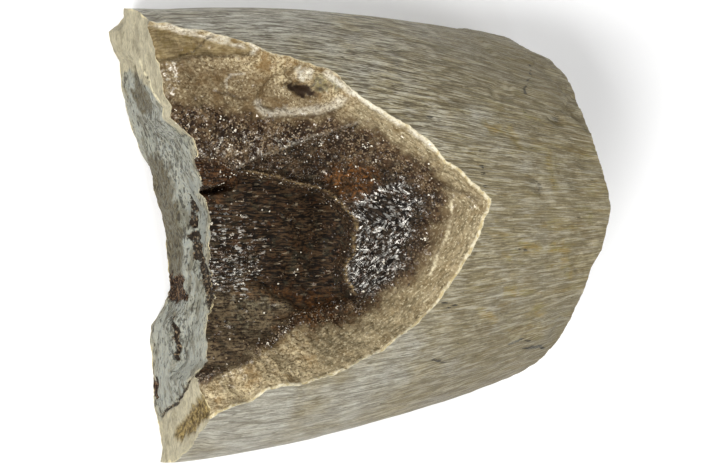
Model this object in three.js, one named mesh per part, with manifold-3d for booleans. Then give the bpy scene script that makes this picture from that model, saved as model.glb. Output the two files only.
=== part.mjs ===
// A broken length of petrified limb-bone shaft, in millimetres.
// +X runs along the shaft towards its narrow end, +Y across it, +Z up from the face it lies on.
// The upper wall is broken away slantwise, so the brown marrow zone and the hollow show.
import * as THREE from "three";
import { mergeVertices } from "three/addons/utils/BufferGeometryUtils.js";
import Module from "manifold-3d";

// ---- The whole shaft ----
const WIDE_END = -32.5; // X where the shaft starts to narrow
const TAPER_LENGTH = 62;
const HALF_WIDTH = 37.2; // at the wide end
const WIDTH_LOSS = 8.9; // half width lost over the taper
const TAPER_POWER = 1.85;
const CENTRE_DRIFT = 4.75; // the shaft's middle moves this far in +Y over the taper
const CREST_HEIGHT = 35.2; // of the wall's top above the widest level
const CREST_LOSS = 4;
const WIDEST_LEVEL = 6; // Z where the shaft is widest
const BELLY_DEPTH = 21; // the wall's half height below that level
const SECTION_POWER = 1.8; // under 2, so the crest is a little peaked
const BLANK_REACH = 52; // the uncut blank runs this far each way along X
const BLANK_SIDES = 84;
const BLANK_STATIONS = 36;

// ---- The slanting break: its rim, as [x, y] seen from above, out past the wide end at both ends ----
const RIM = [
  [-50, 36.8], [-39.6, 35.2], [-35.6, 34.4], [-30, 33.9], [-26, 32.4], [-23.7, 30.8], [-18.8, 28.8],
  [-14.8, 27.5], [-11.3, 26.3], [-9.7, 23.7], [-6, 21], [-1.8, 18.1], [1.7, 15.7], [4.1, 12.7],
  [6.8, 10.8], [9.2, 8.4], [11.8, 6], [11.1, 3.4], [9.8, 0], [8.7, -2.7], [6.9, -5.8], [4.2, -9.9],
  [1, -14], [-4.4, -18.3], [-12, -22.2], [-17, -23.5], [-23.5, -24.5], [-25.7, -26.5],
  [-29.4, -27.5], [-32, -29], [-50, -33],
];
const RIM_LEAST_BITE = 0.3; // the break drops at least this much per millimetre inside the rim
const RIM_MIRROR = 3; // outside the rim its surface rises as it falls this far inside

// Heights taken over the break's surface, as [x, y, z], before its ledges.
const BREAK_HEIGHTS = [
  // brown shelf on the +Y side
  [-38.3, 26.5, 21], [-35.3, 20.7, 22.5], [-32.1, 14.2, 23.3], [-27.6, 11.7, 23.2],
  [-24.6, 19.1, 24.5], [-29.3, 25.7, 22.8], [-21.4, 24.8, 25.3], [-16.2, 19.1, 25.6],
  [-17.4, 12.5, 24], [-10.2, 14.2, 26], [-9.8, 8.4, 22.8], [-5.7, 6, 21.5],
  // slope up to the tip of the rim
  [-5.2, 14.2, 29], [-2.2, 7.6, 26], [1.6, 6, 29.5], [5.5, 5.2, 33], [-1.8, 1.1, 25],
  [-4, -0.6, 21.5], [1.6, -2.2, 29.5], [5.3, -0.6, 33.5], [-2, -7.1, 25.5], [-4.2, -8.8, 22],
  [0.3, -8.8, 28.5], [-4.4, -13.7, 27], [-8.9, -15.3, 25], [-11.2, -12.1, 22], [-6.9, -6.3, 20],
  // floor of the hollow
  [-14.4, -0.6, 21], [-23.4, -0.6, 21.5], [-29.1, -0.6, 21.5], [-29.6, -10.4, 21.5],
  [-23.3, -13.7, 21.3], [-30, -18.6, 22.5],
  // tan ledge on the -Y side
  [-27, -24.4, 26], [-32.1, -26, 25.5], [-18, -18.6, 25.5], [-13.5, -18.6, 27.5],
];
const BREAK_GRID = [64, 72]; // cells along X and Y
const BREAK_AREA = { width: 57, depth: 76, centre: [-14.5, 1] };
const BREAK_ROUGHNESS = 0.14;

// Ledges and pits: the ground inside each outline is lowered by its depth, over a bank of this width.
const LEDGES = [
  {
    // the marrow hollow
    depth: 3.2,
    bank: 1.7,
    outline: [
      [-46, 7], [-31.6, 6.6], [-27.2, 8.4], [-24.5, 10.2], [-19, 9.1], [-14.8, 8], [-11.4, 7.5],
      [-8.1, 5.8], [-6.6, 4.5], [-4.8, 2.2], [-5.2, -2.7], [-6.6, -4.8], [-6.6, -7], [-4.9, -9.9],
      [-8.6, -11.2], [-13, -12.1], [-16.4, -13.5], [-19, -15.5], [-22.7, -17.6], [-25.7, -20.7],
      [-27.9, -21.2], [-32.5, -22.6], [-46, -23],
    ],
  },
  {
    // cleft at the hollow's corner
    depth: 2.8,
    bank: 1.4,
    outline: [[-36, 7.3], [-30.9, 8.8], [-24.7, 10.2], [-25.9, 7.4], [-30.4, 6]],
  },
  {
    // shelf between the hollow and the step above it
    depth: 0.8,
    bank: 1.3,
    outline: [
      [-25.2, 14], [-21.1, 14.7], [-17.4, 15.2], [-12.8, 16.6], [-8.6, 13], [-9, 8.6],
      [-14.8, 8.8], [-19, 9.9], [-24.5, 11],
    ],
  },
  {
    // the hollow's raised floor on the -Y side
    depth: -1.4,
    bank: 2.4,
    outline: [
      [-46, -11.5], [-30.5, -10.5], [-27.5, -8.6], [-23, -7.8], [-19.5, -8.2], [-16, -10.5],
      [-14, -12.6], [-19, -15.5], [-25.7, -20.7], [-46, -23],
    ],
  },
  {
    // shell-shaped scar around the pit
    depth: 0.6,
    bank: 1.4,
    outline: [
      [-23.9, 21.4], [-20.6, 20.3], [-15.4, 20.1], [-11, 21.4], [-8.8, 23], [-9.6, 25],
      [-13, 26.8], [-17.5, 27.2], [-21, 25.5],
    ],
  },
  {
    // smooth flake scar under the +Y rim
    depth: 0.9,
    bank: 1.3,
    outline: [
      [-46, 29], [-39.9, 28.5], [-35.6, 29.6], [-22.6, 29.6], [-22.4, 31.2], [-26, 32.8],
      [-31, 34.2], [-46, 35.4],
    ],
  },
  {
    // shallow pit beside the rim
    depth: 1.1,
    bank: 1.5,
    outline: [[-17.2, 27], [-18.4, 26], [-16.8, 24.2], [-14, 23.6], [-11.4, 24.4], [-13, 26.2]],
  },
];

// ---- The broken end at the wide side: [y, x at the bottom, x at the top, z where it turns] ----
const WIDE_BREAK = [
  [37, -37.3, -40, 3.5], [35, -37.8, -40, 3.5], [33.6, -39.8, -40, 4], [30.5, -39.3, -39.8, 7],
  [28.5, -38.1, -39.6, 10], [24.3, -37.4, -39.2, 11], [20, -36.9, -38.2, 11],
  [16.3, -34.9, -35.1, 11], [11.2, -32.9, -32.2, 11], [4, -31.1, -29.1, 11.5],
  [-2.4, -29.9, -28.8, 12], [-9.9, -29.8, -28.9, 12], [-12, -30.3, -29.4, 12],
  [-14.7, -32.3, -30, 11], [-20, -31.7, -30.4, 10], [-23.4, -31.8, -32.8, 9],
  [-27.3, -31.7, -32.1, 7], [-33, -30.4, -32.4, 4], [-37, -30.2, -32.6, 3.5],
];
const WIDE_BREAK_TURN = 2; // half the height over which it turns
const WIDE_BREAK_ROUGHNESS = 0.25;

// ---- The broken end at the narrow side: [y, x along the shaft's top edge] ----
const NARROW_BREAK = [
  [37, 25], [31, 28.6], [29.6, 31], [27, 31.6], [21.7, 31.5], [14.2, 32.2], [8, 33.4], [4.5, 33.9],
  [-2.1, 33.1], [-5.2, 31.7], [-11.9, 30.9], [-17.3, 30.7], [-18.2, 29.9], [-21.2, 29], [-25, 25],
  [-37, 21],
];
const NARROW_BREAK_LEAN = 0.17; // it runs out this much per millimetre down
const NARROW_BREAK_ROUGHNESS = 0.45;
const END_GRID = [30, 18]; // cells across Y and up Z
const END_AREA = { width: 90, depth: 60, centre: [0, 20] }; // across Y and up Z

// ---- The underside: flat on both walls and at the narrow end, with a rough trough between ----
const TROUGH_HALF_WIDTH = 15;
const TROUGH_END = 21; // X where the trough closes
const TROUGH_DEPTH = 2.6;
const TROUGH_BANK = 5;
const TROUGH_ROUGHNESS = 0.5;
const UNDERSIDE_GRID = [34, 30]; // cells along X and Y
const UNDERSIDE_AREA = { width: 110, depth: 90, centre: [0, 0] };
const CUT_REACH = 90; // how far a cutting block runs past the stone

// ---- Marks on the outer wall: shallow chips by the narrow end, [x, y, radius, depth] ----
const CHIPS = [
  [27, 26.5, 3.4, 0.7], [29.8, 20.5, 3, 0.6], [24.5, 30.2, 2.6, 0.6], [30.4, 12.2, 2.6, 0.5],
  [27.6, 9.4, 2.2, 0.35], [29.5, -15.5, 2.4, 0.5], [-31.5, -33, 2.2, 0.4], [-38, 35.6, 2, 0.4],
];
const FLUTE_DEPTH = 0.12; // broad lengthwise waves in the wall
const FLUTE_WIDTH = 5.3;

const SLIVER = 0.04; // faces thinner than this are tidied away
const STONE_COLOUR = 0x958e78;

// ---- Small helpers ----
const clamp = THREE.MathUtils.clamp;
const lerp = THREE.MathUtils.lerp;
const smoothstep = THREE.MathUtils.smoothstep;

// Gentle lumps of about the given spacing, from -1 to 1.
function lumps(u, v, spacing, seed) {
  const a = (u / spacing) * Math.PI;
  const b = (v / spacing) * Math.PI;
  return (
    0.45 * Math.sin(a + 0.6 * b + 1.7 * seed) +
    0.33 * Math.sin(1.9 * b - 0.8 * a + 4.1 * seed) +
    0.22 * Math.sin(2.7 * a + 2.3 * b + 2.9 * seed)
  );
}

// Column `column` of a table whose first column is `at`, in falling order.
function readTable(table, at, column) {
  const below = table.findIndex((row) => row[0] <= at);
  if (below === 0) return table[0][column];
  if (below < 0) return table[table.length - 1][column];
  const high = table[below - 1];
  const low = table[below];
  return lerp(low[column], high[column], (at - low[0]) / (high[0] - low[0]));
}

// The closed outline's nearest point to (x, y), and how far inside the outline (x, y) lies.
function nearestEdge(outline, x, y) {
  const nearest = { distance: Infinity, x: 0, y: 0 };
  let within = false;
  outline.forEach(([ax, ay], i) => {
    const [bx, by] = outline[(i + 1) % outline.length];
    if ((ay > y) !== (by > y) && x < ((bx - ax) * (y - ay)) / (by - ay) + ax) within = !within;
    const run = (bx - ax) ** 2 + (by - ay) ** 2;
    const along = clamp(((x - ax) * (bx - ax) + (y - ay) * (by - ay)) / run, 0, 1);
    const edge = { x: lerp(ax, bx, along), y: lerp(ay, by, along) };
    const distance = Math.hypot(x - edge.x, y - edge.y);
    if (distance < nearest.distance) Object.assign(nearest, edge, { distance });
  });
  return { ...nearest, inside: within ? nearest.distance : -nearest.distance };
}

// Weights of the smooth sheet through the given heights: a bending sheet on a sloping plane.
function fitSheet(heights) {
  const bend = (r2) => (r2 > 0 ? r2 * Math.log(r2) : 0);
  const n = heights.length;
  const rows = [];
  for (let i = 0; i < n + 3; i += 1) rows.push(new Array(n + 4).fill(0));
  heights.forEach(([x, y, z], i) => {
    heights.forEach(([ox, oy], j) => {
      rows[i][j] = bend((x - ox) ** 2 + (y - oy) ** 2);
    });
    [1, x, y].forEach((term, k) => {
      rows[i][n + k] = term;
      rows[n + k][i] = term;
    });
    rows[i][n + 3] = z;
  });
  const weights = solve(rows);
  return (x, y) => {
    let z = weights[n] + weights[n + 1] * x + weights[n + 2] * y;
    heights.forEach(([ox, oy], j) => {
      z += weights[j] * bend((x - ox) ** 2 + (y - oy) ** 2);
    });
    return z;
  };
}

// Gauss-Jordan elimination of an augmented matrix.
function solve(rows) {
  const n = rows.length;
  for (let c = 0; c < n; c += 1) {
    let pivot = c;
    for (let r = c + 1; r < n; r += 1) {
      if (Math.abs(rows[r][c]) > Math.abs(rows[pivot][c])) pivot = r;
    }
    [rows[c], rows[pivot]] = [rows[pivot], rows[c]];
    for (let r = 0; r < n; r += 1) {
      if (r === c) continue;
      const factor = rows[r][c] / rows[c][c];
      for (let k = c; k <= n; k += 1) rows[r][k] -= factor * rows[c][k];
    }
  }
  return rows.map((row, i) => row[n] / row[i]);
}

// ---- The outer wall ----
function sectionAt(x) {
  const along = clamp((x - WIDE_END) / TAPER_LENGTH, 0, 1.6);
  return {
    half: HALF_WIDTH - WIDTH_LOSS * along ** TAPER_POWER,
    centre: CENTRE_DRIFT * along,
    crest: CREST_HEIGHT - CREST_LOSS * along,
  };
}

function wallHeight(x, y) {
  const { half, centre, crest } = sectionAt(x);
  const across = clamp(Math.abs((y - centre) / half), 0, 1);
  return WIDEST_LEVEL + crest * Math.sqrt(1 - across ** SECTION_POWER);
}

// A round bar whose skin is moved out to the shaft's section, with its flutes and chips.
function shaftBlank() {
  const bar = new THREE.CylinderGeometry(1, 1, 2, BLANK_SIDES, BLANK_STATIONS);
  const position = bar.getAttribute("position");
  for (let i = 0; i < position.count; i += 1) {
    const across = -position.getX(i);
    const x = BLANK_REACH * position.getY(i);
    const up = position.getZ(i);
    const { half, centre, crest } = sectionAt(x);
    const y = centre + half * Math.sign(across) * Math.abs(across) ** (2 / SECTION_POWER);
    const z = WIDEST_LEVEL + up * (up > 0 ? crest : BELLY_DEPTH);
    let inward = FLUTE_DEPTH * lumps(y + z, x / 6, FLUTE_WIDTH, 1);
    for (const [cx, cy, radius, depth] of CHIPS) {
      if (up >= 0) inward += depth * smoothstep(1 - Math.hypot(x - cx, y - cy) / radius, 0, 0.6);
    }
    const shrink = Math.hypot(across, up) > 0.5 ? inward : 0;
    position.setXYZ(i, x, y - across * shrink, z - up * shrink);
  }
  return bar;
}

// ---- The breaks ----
const sheet = fitSheet([
  ...RIM.map(([x, y]) => [x, y, wallHeight(x, y)]),
  ...BREAK_HEIGHTS,
]);

// How far the break lies below the whole wall, at a point the given way inside the rim.
function biteDepth(x, y, inside) {
  let z = sheet(x, y);
  for (const { depth, bank, outline } of LEDGES) {
    z -= depth * smoothstep(nearestEdge(outline, x, y).inside, -bank / 2, bank / 2);
  }
  z += BREAK_ROUGHNESS * (lumps(x, y, 3.1, 2) + lumps(y, -x, 4.4, 6)) * smoothstep(inside, 0, 3);
  return Math.max(wallHeight(x, y) - z, RIM_LEAST_BITE * inside);
}

function breakHeight(x, y) {
  const rim = nearestEdge(RIM, x, y);
  if (rim.inside > 0) return wallHeight(x, y) - biteDepth(x, y, rim.inside);
  const back = Math.min(1, RIM_MIRROR / rim.distance);
  const mirrored = biteDepth(rim.x + back * (rim.x - x), rim.y + back * (rim.y - y), back * rim.distance);
  return wallHeight(x, y) + mirrored / back;
}

function wideBreakAt(y, z) {
  const low = readTable(WIDE_BREAK, y, 1);
  const high = readTable(WIDE_BREAK, y, 2);
  const crease = readTable(WIDE_BREAK, y, 3);
  const turn = smoothstep(z, crease - WIDE_BREAK_TURN, crease + WIDE_BREAK_TURN);
  return lerp(low, high, turn) + WIDE_BREAK_ROUGHNESS * lumps(y, z, 4.3, 3);
}

function narrowBreakAt(y, z) {
  const edge = readTable(NARROW_BREAK, y, 1);
  const drop = wallHeight(edge, y) - z;
  const rough = NARROW_BREAK_ROUGHNESS * lumps(y, z, 6.5, 5) * smoothstep(drop, 0, 4);
  return edge + NARROW_BREAK_LEAN * drop + rough;
}

function undersideAt(x, y) {
  const { centre } = sectionAt(x);
  const inFromWall = TROUGH_HALF_WIDTH - Math.abs(y - centre + lumps(x, y, 9, 7));
  const inFromEnd = TROUGH_END - x + 2 * lumps(y, x, 8, 11);
  const deep = smoothstep(Math.min(inFromWall, inFromEnd), 0, TROUGH_BANK);
  return deep * (TROUGH_DEPTH + TROUGH_ROUGHNESS * lumps(x, y, 4.7, 13));
}

// A cutting block whose bottom or top (along Z) is moved to the given height field.
function cuttingBlock(area, cells, facesDown, height) {
  const block = new THREE.BoxGeometry(area.width, area.depth, 2, cells[0], cells[1], 1);
  block.translate(area.centre[0], area.centre[1], 0);
  const position = block.getAttribute("position");
  for (let i = 0; i < position.count; i += 1) {
    const x = position.getX(i);
    const y = position.getY(i);
    const shaped = facesDown === (position.getZ(i) < 0);
    const away = facesDown ? CUT_REACH : -CUT_REACH;
    position.setZ(i, shaped ? height(x, y) : away);
  }
  return block;
}

// ---- Solids ----
const wasm = await Module();
wasm.setup();

function solidOf(geometry) {
  geometry.deleteAttribute("normal");
  geometry.deleteAttribute("uv");
  const merged = mergeVertices(geometry, 1e-4);
  return new wasm.Manifold(
    new wasm.Mesh({
      numProp: 3,
      vertProperties: new Float32Array(merged.getAttribute("position").array),
      triVerts: new Uint32Array(merged.getIndex().array),
    }),
  );
}

function geometryOf(solid) {
  const mesh = solid.getMesh();
  const geometry = new THREE.BufferGeometry();
  geometry.setAttribute("position", new THREE.BufferAttribute(mesh.vertProperties, 3));
  geometry.setIndex(new THREE.BufferAttribute(mesh.triVerts, 1));
  return geometry.toNonIndexed();
}

function boneSection() {
  // The end blocks are shaped lying down, (y, z) as (x, y), then stood up so their height is x.
  const standUp = new THREE.Matrix4().set(0, 0, 1, 0, 1, 0, 0, 0, 0, 1, 0, 0, 0, 0, 0, 1);
  const cuts = [
    cuttingBlock(BREAK_AREA, BREAK_GRID, true, breakHeight),
    cuttingBlock(END_AREA, END_GRID, false, wideBreakAt).applyMatrix4(standUp),
    cuttingBlock(END_AREA, END_GRID, true, narrowBreakAt).applyMatrix4(standUp),
    cuttingBlock(UNDERSIDE_AREA, UNDERSIDE_GRID, false, undersideAt),
  ];
  const whole = solidOf(shaftBlank());
  return cuts.reduce((bone, cut) => bone.subtract(solidOf(cut)), whole).simplify(SLIVER);
}

// The origin is under the middle of the finished piece, on the plane it lies on.
function centred(geometry) {
  geometry.computeBoundingBox();
  const middle = geometry.boundingBox.getCenter(new THREE.Vector3());
  return geometry.translate(-middle.x, -middle.y, -geometry.boundingBox.min.z);
}

const stone = new THREE.MeshStandardMaterial({
  color: STONE_COLOUR,
  roughness: 0.6,
  metalness: 0,
  flatShading: true,
});
const bone = new THREE.Mesh(centred(geometryOf(boneSection())), stone);
bone.name = "bone_section";

const part = new THREE.Group();
part.add(bone);
export default part;
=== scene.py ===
"""The look of a broken length of petrified limb bone: streaked outer wall, tan cortex, brown marrow."""

import math

import bmesh
import bpy
import numpy as np
from mathutils import Matrix, Vector
from mathutils.kdtree import KDTree


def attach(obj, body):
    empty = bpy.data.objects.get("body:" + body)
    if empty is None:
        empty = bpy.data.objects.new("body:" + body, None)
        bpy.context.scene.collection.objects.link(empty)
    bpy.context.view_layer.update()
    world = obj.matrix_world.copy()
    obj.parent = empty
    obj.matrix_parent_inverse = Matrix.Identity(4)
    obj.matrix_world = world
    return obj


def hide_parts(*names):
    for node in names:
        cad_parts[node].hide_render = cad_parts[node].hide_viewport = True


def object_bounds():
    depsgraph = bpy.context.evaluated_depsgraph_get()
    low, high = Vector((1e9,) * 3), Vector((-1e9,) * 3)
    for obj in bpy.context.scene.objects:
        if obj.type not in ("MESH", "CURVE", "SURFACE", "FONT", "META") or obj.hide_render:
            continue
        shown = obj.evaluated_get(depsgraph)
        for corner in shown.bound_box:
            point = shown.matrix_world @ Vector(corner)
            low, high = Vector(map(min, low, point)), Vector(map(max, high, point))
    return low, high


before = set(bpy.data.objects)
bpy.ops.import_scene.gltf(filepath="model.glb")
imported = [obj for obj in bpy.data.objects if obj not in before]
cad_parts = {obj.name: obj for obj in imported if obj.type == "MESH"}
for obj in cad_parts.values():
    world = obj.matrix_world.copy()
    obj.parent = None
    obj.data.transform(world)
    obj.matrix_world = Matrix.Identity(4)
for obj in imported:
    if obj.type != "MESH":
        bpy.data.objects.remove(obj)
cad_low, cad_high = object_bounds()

bl_info = {
    "name": "Petrified bone section",
    "version": (1, 0, 0),
    "blender": (4, 5, 0),
    "location": "3D View > Sidebar > Bone",
    "description": "Carves the bone section, scatters its marrow grains and sets the studio",
    "category": "Object",
}

# Lengths on the stone are millimetres until a mesh is finished: +X runs along the shaft to its
# narrow end, +Y across it and +Z up. The drawing is moved by DRAWING_SHIFT to the solid's frame.
MM = 0.001
DRAWING_SHIFT = (0.114, -0.294, 0.0)

# ---- The whole shaft ----
WIDE_END, TAPER_LENGTH, TAPER_POWER, TAPER_MOST = -32.5, 62.0, 1.85, 1.6
HALF_WIDTH, WIDTH_LOSS, CENTRE_DRIFT = 37.2, 8.9, 4.75
CREST_HEIGHT, CREST_LOSS, WIDEST_LEVEL, BELLY_DEPTH = 35.2, 4.0, 6.0, 21.0
SECTION_POWER = 1.8
SHAFT_FROM, SHAFT_TO = -44.0, 41.0
# The wall's skin is fine down to WALL_BELOW, in radians under its widest level, and coarse beneath.
WALL_BELOW, BELLY_BELOW, BELLY_LINES, BELLY_STEP = 0.32, 0.4, 14, 2.0
ACROSS_STEP, ALONG_STEP, TIP_FROM, TIP_STEP = 0.3, 1.0, 13.0, 0.5
# Its strands follow the shaft's drift and close up towards the narrow end.
LAY_DRIFT, LAY_FROM, LAY_CLOSING = 1.1, -32.0, 0.00006

# ---- The slanting break: its rim seen from above ----
RIM = [
    (-50, 37), (-38.8, 35), (-36.4, 34.2), (-34.8, 33.6), (-30.5, 33), (-26.8, 31.8), (-24.2, 31),
    (-22.3, 29.5), (-18.8, 28.8), (-14.8, 27.5), (-11.3, 26.3), (-9.7, 23.7), (-6, 21), (-1.8, 18.1),
    (1.7, 15.7), (4.1, 12.7), (6.8, 10.8), (9.2, 8.4), (11.8, 6), (11.1, 3.4), (9.8, 0), (8.7, -2.7),
    (6.9, -5.8), (4.2, -9.9), (1, -14), (-4.4, -18.3), (-12, -22.2), (-17, -23.5), (-23.5, -24.5),
    (-25.7, -26.5), (-29.4, -27.5), (-32, -29), (-50, -33),
]
RIM_LEAST_BITE, RIM_MIRROR = 0.3, 3.0
DRIFT_BROAD, DRIFT_FINE = 0.28, 0.14

# Heights taken over the break's surface, as (x, y, z), before its ledges.
BREAK_HEIGHTS = [
    (-38.4, 30.4, 21.8), (-38.3, 26.2, 22.5), (-35.6, 20.7, 23.8), (-32.6, 14.6, 24.5),
    (-27.6, 11.7, 23.8), (-24.6, 19.1, 24.6), (-29.3, 25.7, 23.3), (-21.4, 24.8, 25.3),
    (-16.2, 19.1, 25.6), (-17.4, 12.5, 24), (-10.2, 14.2, 26), (-9.8, 8.4, 22.8), (-5.7, 6, 21.5),
    (-5.2, 14.2, 29), (-2.2, 7.6, 26), (1.6, 6, 29.5), (5.5, 5.2, 33), (-1.8, 1.1, 25),
    (-4, -0.6, 21.5), (1.6, -2.2, 29.5), (5.3, -0.6, 33.5), (-2, -7.1, 25.5), (-4.2, -8.8, 22),
    (0.3, -8.8, 28.5), (-4.4, -13.7, 27), (-8.9, -15.3, 25), (-11.2, -12.1, 22), (-6.9, -6.3, 20),
    (-14.4, -0.6, 21), (-23.4, -0.6, 21.5), (-29.1, -0.6, 21.5), (-29.6, -10.4, 21.5),
    (-23.3, -13.7, 21.3), (-30, -18.6, 22.5),
    (-27, -24.4, 26), (-32.1, -26, 25.5), (-18, -18.6, 25.5), (-13.5, -18.6, 27.5),
]
BREAK_ALONG, BREAK_ACROSS, BREAK_STEP = (-43.0, 13.5), (-36.0, 37.5), 0.25

# Outlines seen from above. A ledge lowers the ground inside its outline over a bank.
HOLLOW = [
    (-46, 7), (-31.6, 6.6), (-27.2, 8.4), (-24.5, 10.2), (-19, 9.1), (-14.8, 8), (-11.4, 7.5),
    (-8.1, 5.8), (-6.6, 4.5), (-4.8, 2.2), (-5.2, -2.7), (-6.6, -4.8), (-6.6, -7), (-4.9, -9.9),
    (-8.6, -11.2), (-13, -12.1), (-16.4, -13.5), (-19, -15.5), (-22.7, -17.6), (-25.7, -20.7),
    (-27.9, -21.2), (-32.5, -22.6), (-46, -23),
]
CLEFT = [(-38, 7), (-32, 7.9), (-29, 8), (-25.4, 8.6), (-25.2, 7.4), (-28, 6.8), (-32, 6.2), (-38, 6)]
CHUNK = [
    (-38, 12.2), (-31.7, 12.5), (-28.9, 12.3), (-26.6, 10.9), (-24.9, 10.3), (-24.2, 8.8), (-25.5, 7.2),
    (-38, 6.6),
]
SHELF = [
    (-26.4, 10.6), (-21.3, 12.9), (-17.2, 14.4), (-14.5, 15.4), (-10.5, 17.1), (-7.6, 17.6),
    (-6.4, 15), (-8.6, 12), (-9, 8.6), (-14.8, 8.8), (-19, 9.9), (-24.5, 10.6),
]
DISH = [
    (-46, -11.5), (-30.5, -10.5), (-27.5, -8.6), (-23, -7.8), (-19.5, -8.2), (-16, -10.5),
    (-14, -12.6), (-19, -15.5), (-25.7, -20.7), (-46, -23),
]
SHELL_SCAR = [
    (-23.9, 21.4), (-20.6, 20.3), (-15.4, 20.1), (-11, 21.4), (-8.8, 23), (-9.6, 25), (-13, 26.8),
    (-17.5, 27.2), (-21, 25.5),
]
FLAKE_SCAR = [
    (-46, 28.6), (-38.5, 27.9), (-34.5, 28.8), (-31.6, 29.2), (-26.4, 29.2), (-23.5, 29.3),
    (-23.7, 30.1), (-25.4, 30.9), (-27.5, 31.8), (-31, 32.4), (-34.9, 33), (-38.7, 34.2), (-46, 34.4),
]
PIT = [(-17.2, 27), (-18.4, 26), (-16.8, 24.2), (-14, 23.6), (-11.4, 24.4), (-13, 26.2)]
LEDGES = [
    (HOLLOW, 3.2, 1.0), (CLEFT, 2.2, 0.7), (CHUNK, 2.0, 0.6), (SHELF, 1.3, 0.8), (DISH, -1.4, 2.0),
    (SHELL_SCAR, 0.6, 0.9), (FLAKE_SCAR, 0.9, 0.8), (PIT, 1.1, 1.2),
]

# Where each kind of ground lies on the break.
MARROW = [
    (-46, 23), (-37.8, 22.3), (-32.3, 21.4), (-25.9, 20.2), (-17.6, 19), (-11.8, 19.3),
    (-8.9, 18.7), (-4.6, 16.5), (-1.2, 14.3), (2.2, 11.8), (4.9, 9.4), (6.3, 7.2), (6, 3.5),
    (4.6, -0.6), (3, -4.1), (0.5, -8.4), (-3, -11.6), (-7.4, -14.4), (-12.6, -15.8),
    (-18.1, -17), (-22.4, -18.6), (-25.3, -20.8), (-28.3, -22.4), (-30.6, -23.6), (-46, -24),
]
UMBER = [
    (-46, 13), (-32.3, 12.3), (-25.2, 10.4), (-18.7, 9), (-14.3, 7.9), (-10, 10.8), (-5.9, 11.6),
    (-2.7, 11.6), (0.8, 9.9), (3, 8.3), (4.3, 5.9), (3.8, 1.9), (2.4, -2.2), (0.8, -5.7),
    (-1.5, -8.7), (-4.4, -10.3), (-6.4, -11.9), (-10.1, -12.2), (-14.8, -11.3), (-20.6, -11.9),
    (-24.3, -15.1), (-29.1, -18.3), (-46, -19),
]
GLASSY = [
    (-5.3, 5.1), (-4, 7.2), (-1.9, 8.8), (-0.3, 9.5), (1.5, 7.8), (2.4, 5.1), (1.6, 0.2),
    (0.8, -3.8), (-0.6, -7.1), (-3, -9.7), (-5, -9.7), (-6.1, -7.1), (-6.1, -4.8), (-4.8, -2.2),
    (-4.7, 1.4),
]
RUST = [
    (-10.5, 9.2), (-8.9, 11.4), (-6.7, 11.9), (-4, 10.8), (-2.8, 8.8), (-3.7, 6.6), (-6.5, 6.3),
    (-9, 7.2),
]
RUST_LOW = [(-16.9, -13.2), (-13, -10), (-7.6, -9.1), (-6.1, -10.4), (-9, -13.2), (-13.7, -15.1)]
SMOOTH_HOLLOW = [(-2.9, 5.1), (-1.1, 5.9), (0, 4), (-0.7, 2), (-2.6, 1.7), (-3.5, 3.3)]
FLOOR_GRIT = [(-34, 6), (-28.3, 5.1), (-23.9, 4.3), (-20, 1.1), (-19.6, -5.4), (-23, -9), (-34, -9.5)]
ASHEN = [
    (-28.7, -10.2), (-24.7, -9), (-20, -9.2), (-15.9, -10.3), (-15.4, -12.3), (-18.5, -15.1),
    (-22.8, -16.3), (-26, -14.5),
]
PIT_CRYSTALS = [
    (-17.2, 27.1), (-15.9, 26.9), (-14.6, 26.6), (-14.6, 25.4), (-15.8, 24.9), (-16.7, 25.4),
]
PIT_HOLE = [
    (-18.3, 24.6), (-16.9, 24.3), (-16.2, 24.9), (-14.9, 24.1), (-14.1, 23.4), (-14.4, 22.3),
    (-15.2, 22.5), (-16.2, 22.8), (-17.2, 23.2),
]
PIT_ASH = [(-14.3, 25.4), (-13.3, 25.9), (-12.3, 25.1), (-12.4, 23.2), (-13.8, 22.9)]
PIT_MOSS = [(-12.3, 25.9), (-11.1, 25.5), (-10.4, 23.9), (-11.5, 23.2)]
CORNER_GLITTER = [(-40, 26), (-36.6, 28.3), (-35.4, 25.9), (-36.6, 22.7), (-38.6, 21.5)]
SHELF_GLITTER = [
    (-34, 15.2), (-28, 15.6), (-22.5, 16.4), (-17, 17), (-15.5, 15.4), (-21.3, 13.1), (-26.7, 11),
    (-29, 12.5), (-32, 12.8),
]
FLOOR_RUST = [
    [(-31, 6.4), (-24.5, 7.2), (-24.8, 5.6), (-31, 4.8)],
    [(-25, -8.2), (-19, -8), (-13.5, -8.8), (-14, -10.8), (-20, -10.2), (-25, -9.8)],
    [(-19.8, -13.2), (-17.6, -12.4), (-17, -14), (-19, -14.8)],
]

# Lines on the break: (points, half width).
SHELL_LIP = (
    [(-23.1, 21.5), (-22.7, 20.5), (-21.6, 19.9), (-20.5, 19.7), (-18.3, 20.1), (-15.4, 20.2),
     (-12.8, 20.4), (-11.6, 21), (-10.7, 22.1)], 0.6,
)
SHELF_LINE = (
    [(-26.6, 10.9), (-21.3, 13.1), (-17.2, 14.6), (-14.5, 15.6), (-10.5, 17.3), (-8.2, 18.1)], 0.22,
)
SCAR_EDGE = ([(-40, 28.3), (-36, 28.2), (-32.6, 28.9), (-28.4, 28.9), (-24, 28.9)], 0.14)
SCAR_LIP = ([(-24, 29.2), (-23.5, 30), (-24.3, 30.9)], 0.22)
RIM_CHIP = ([(-12.5, 26.2), (-9.8, 23.5), (-6, 20.7), (-1.9, 17.9), (1.6, 15.5), (3, 13.8)], 0.42)
GROWTH_LINE = ([(6.8, 7.1), (6.9, 4.4), (6.2, 0.7), (5.1, -2.3), (3.5, -6.2)], 0.1)
TIP_CREASE = ([(10.3, 5.9), (7.7, 7.1), (5.8, 7.8), (3.5, 9.5)], 0.2)
SCAR_CRACK = ([(-35.2, 28.9), (-33.4, 29.6), (-31.6, 30.4), (-30.6, 31.6), (-29.6, 32.3)], 0.1)
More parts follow.
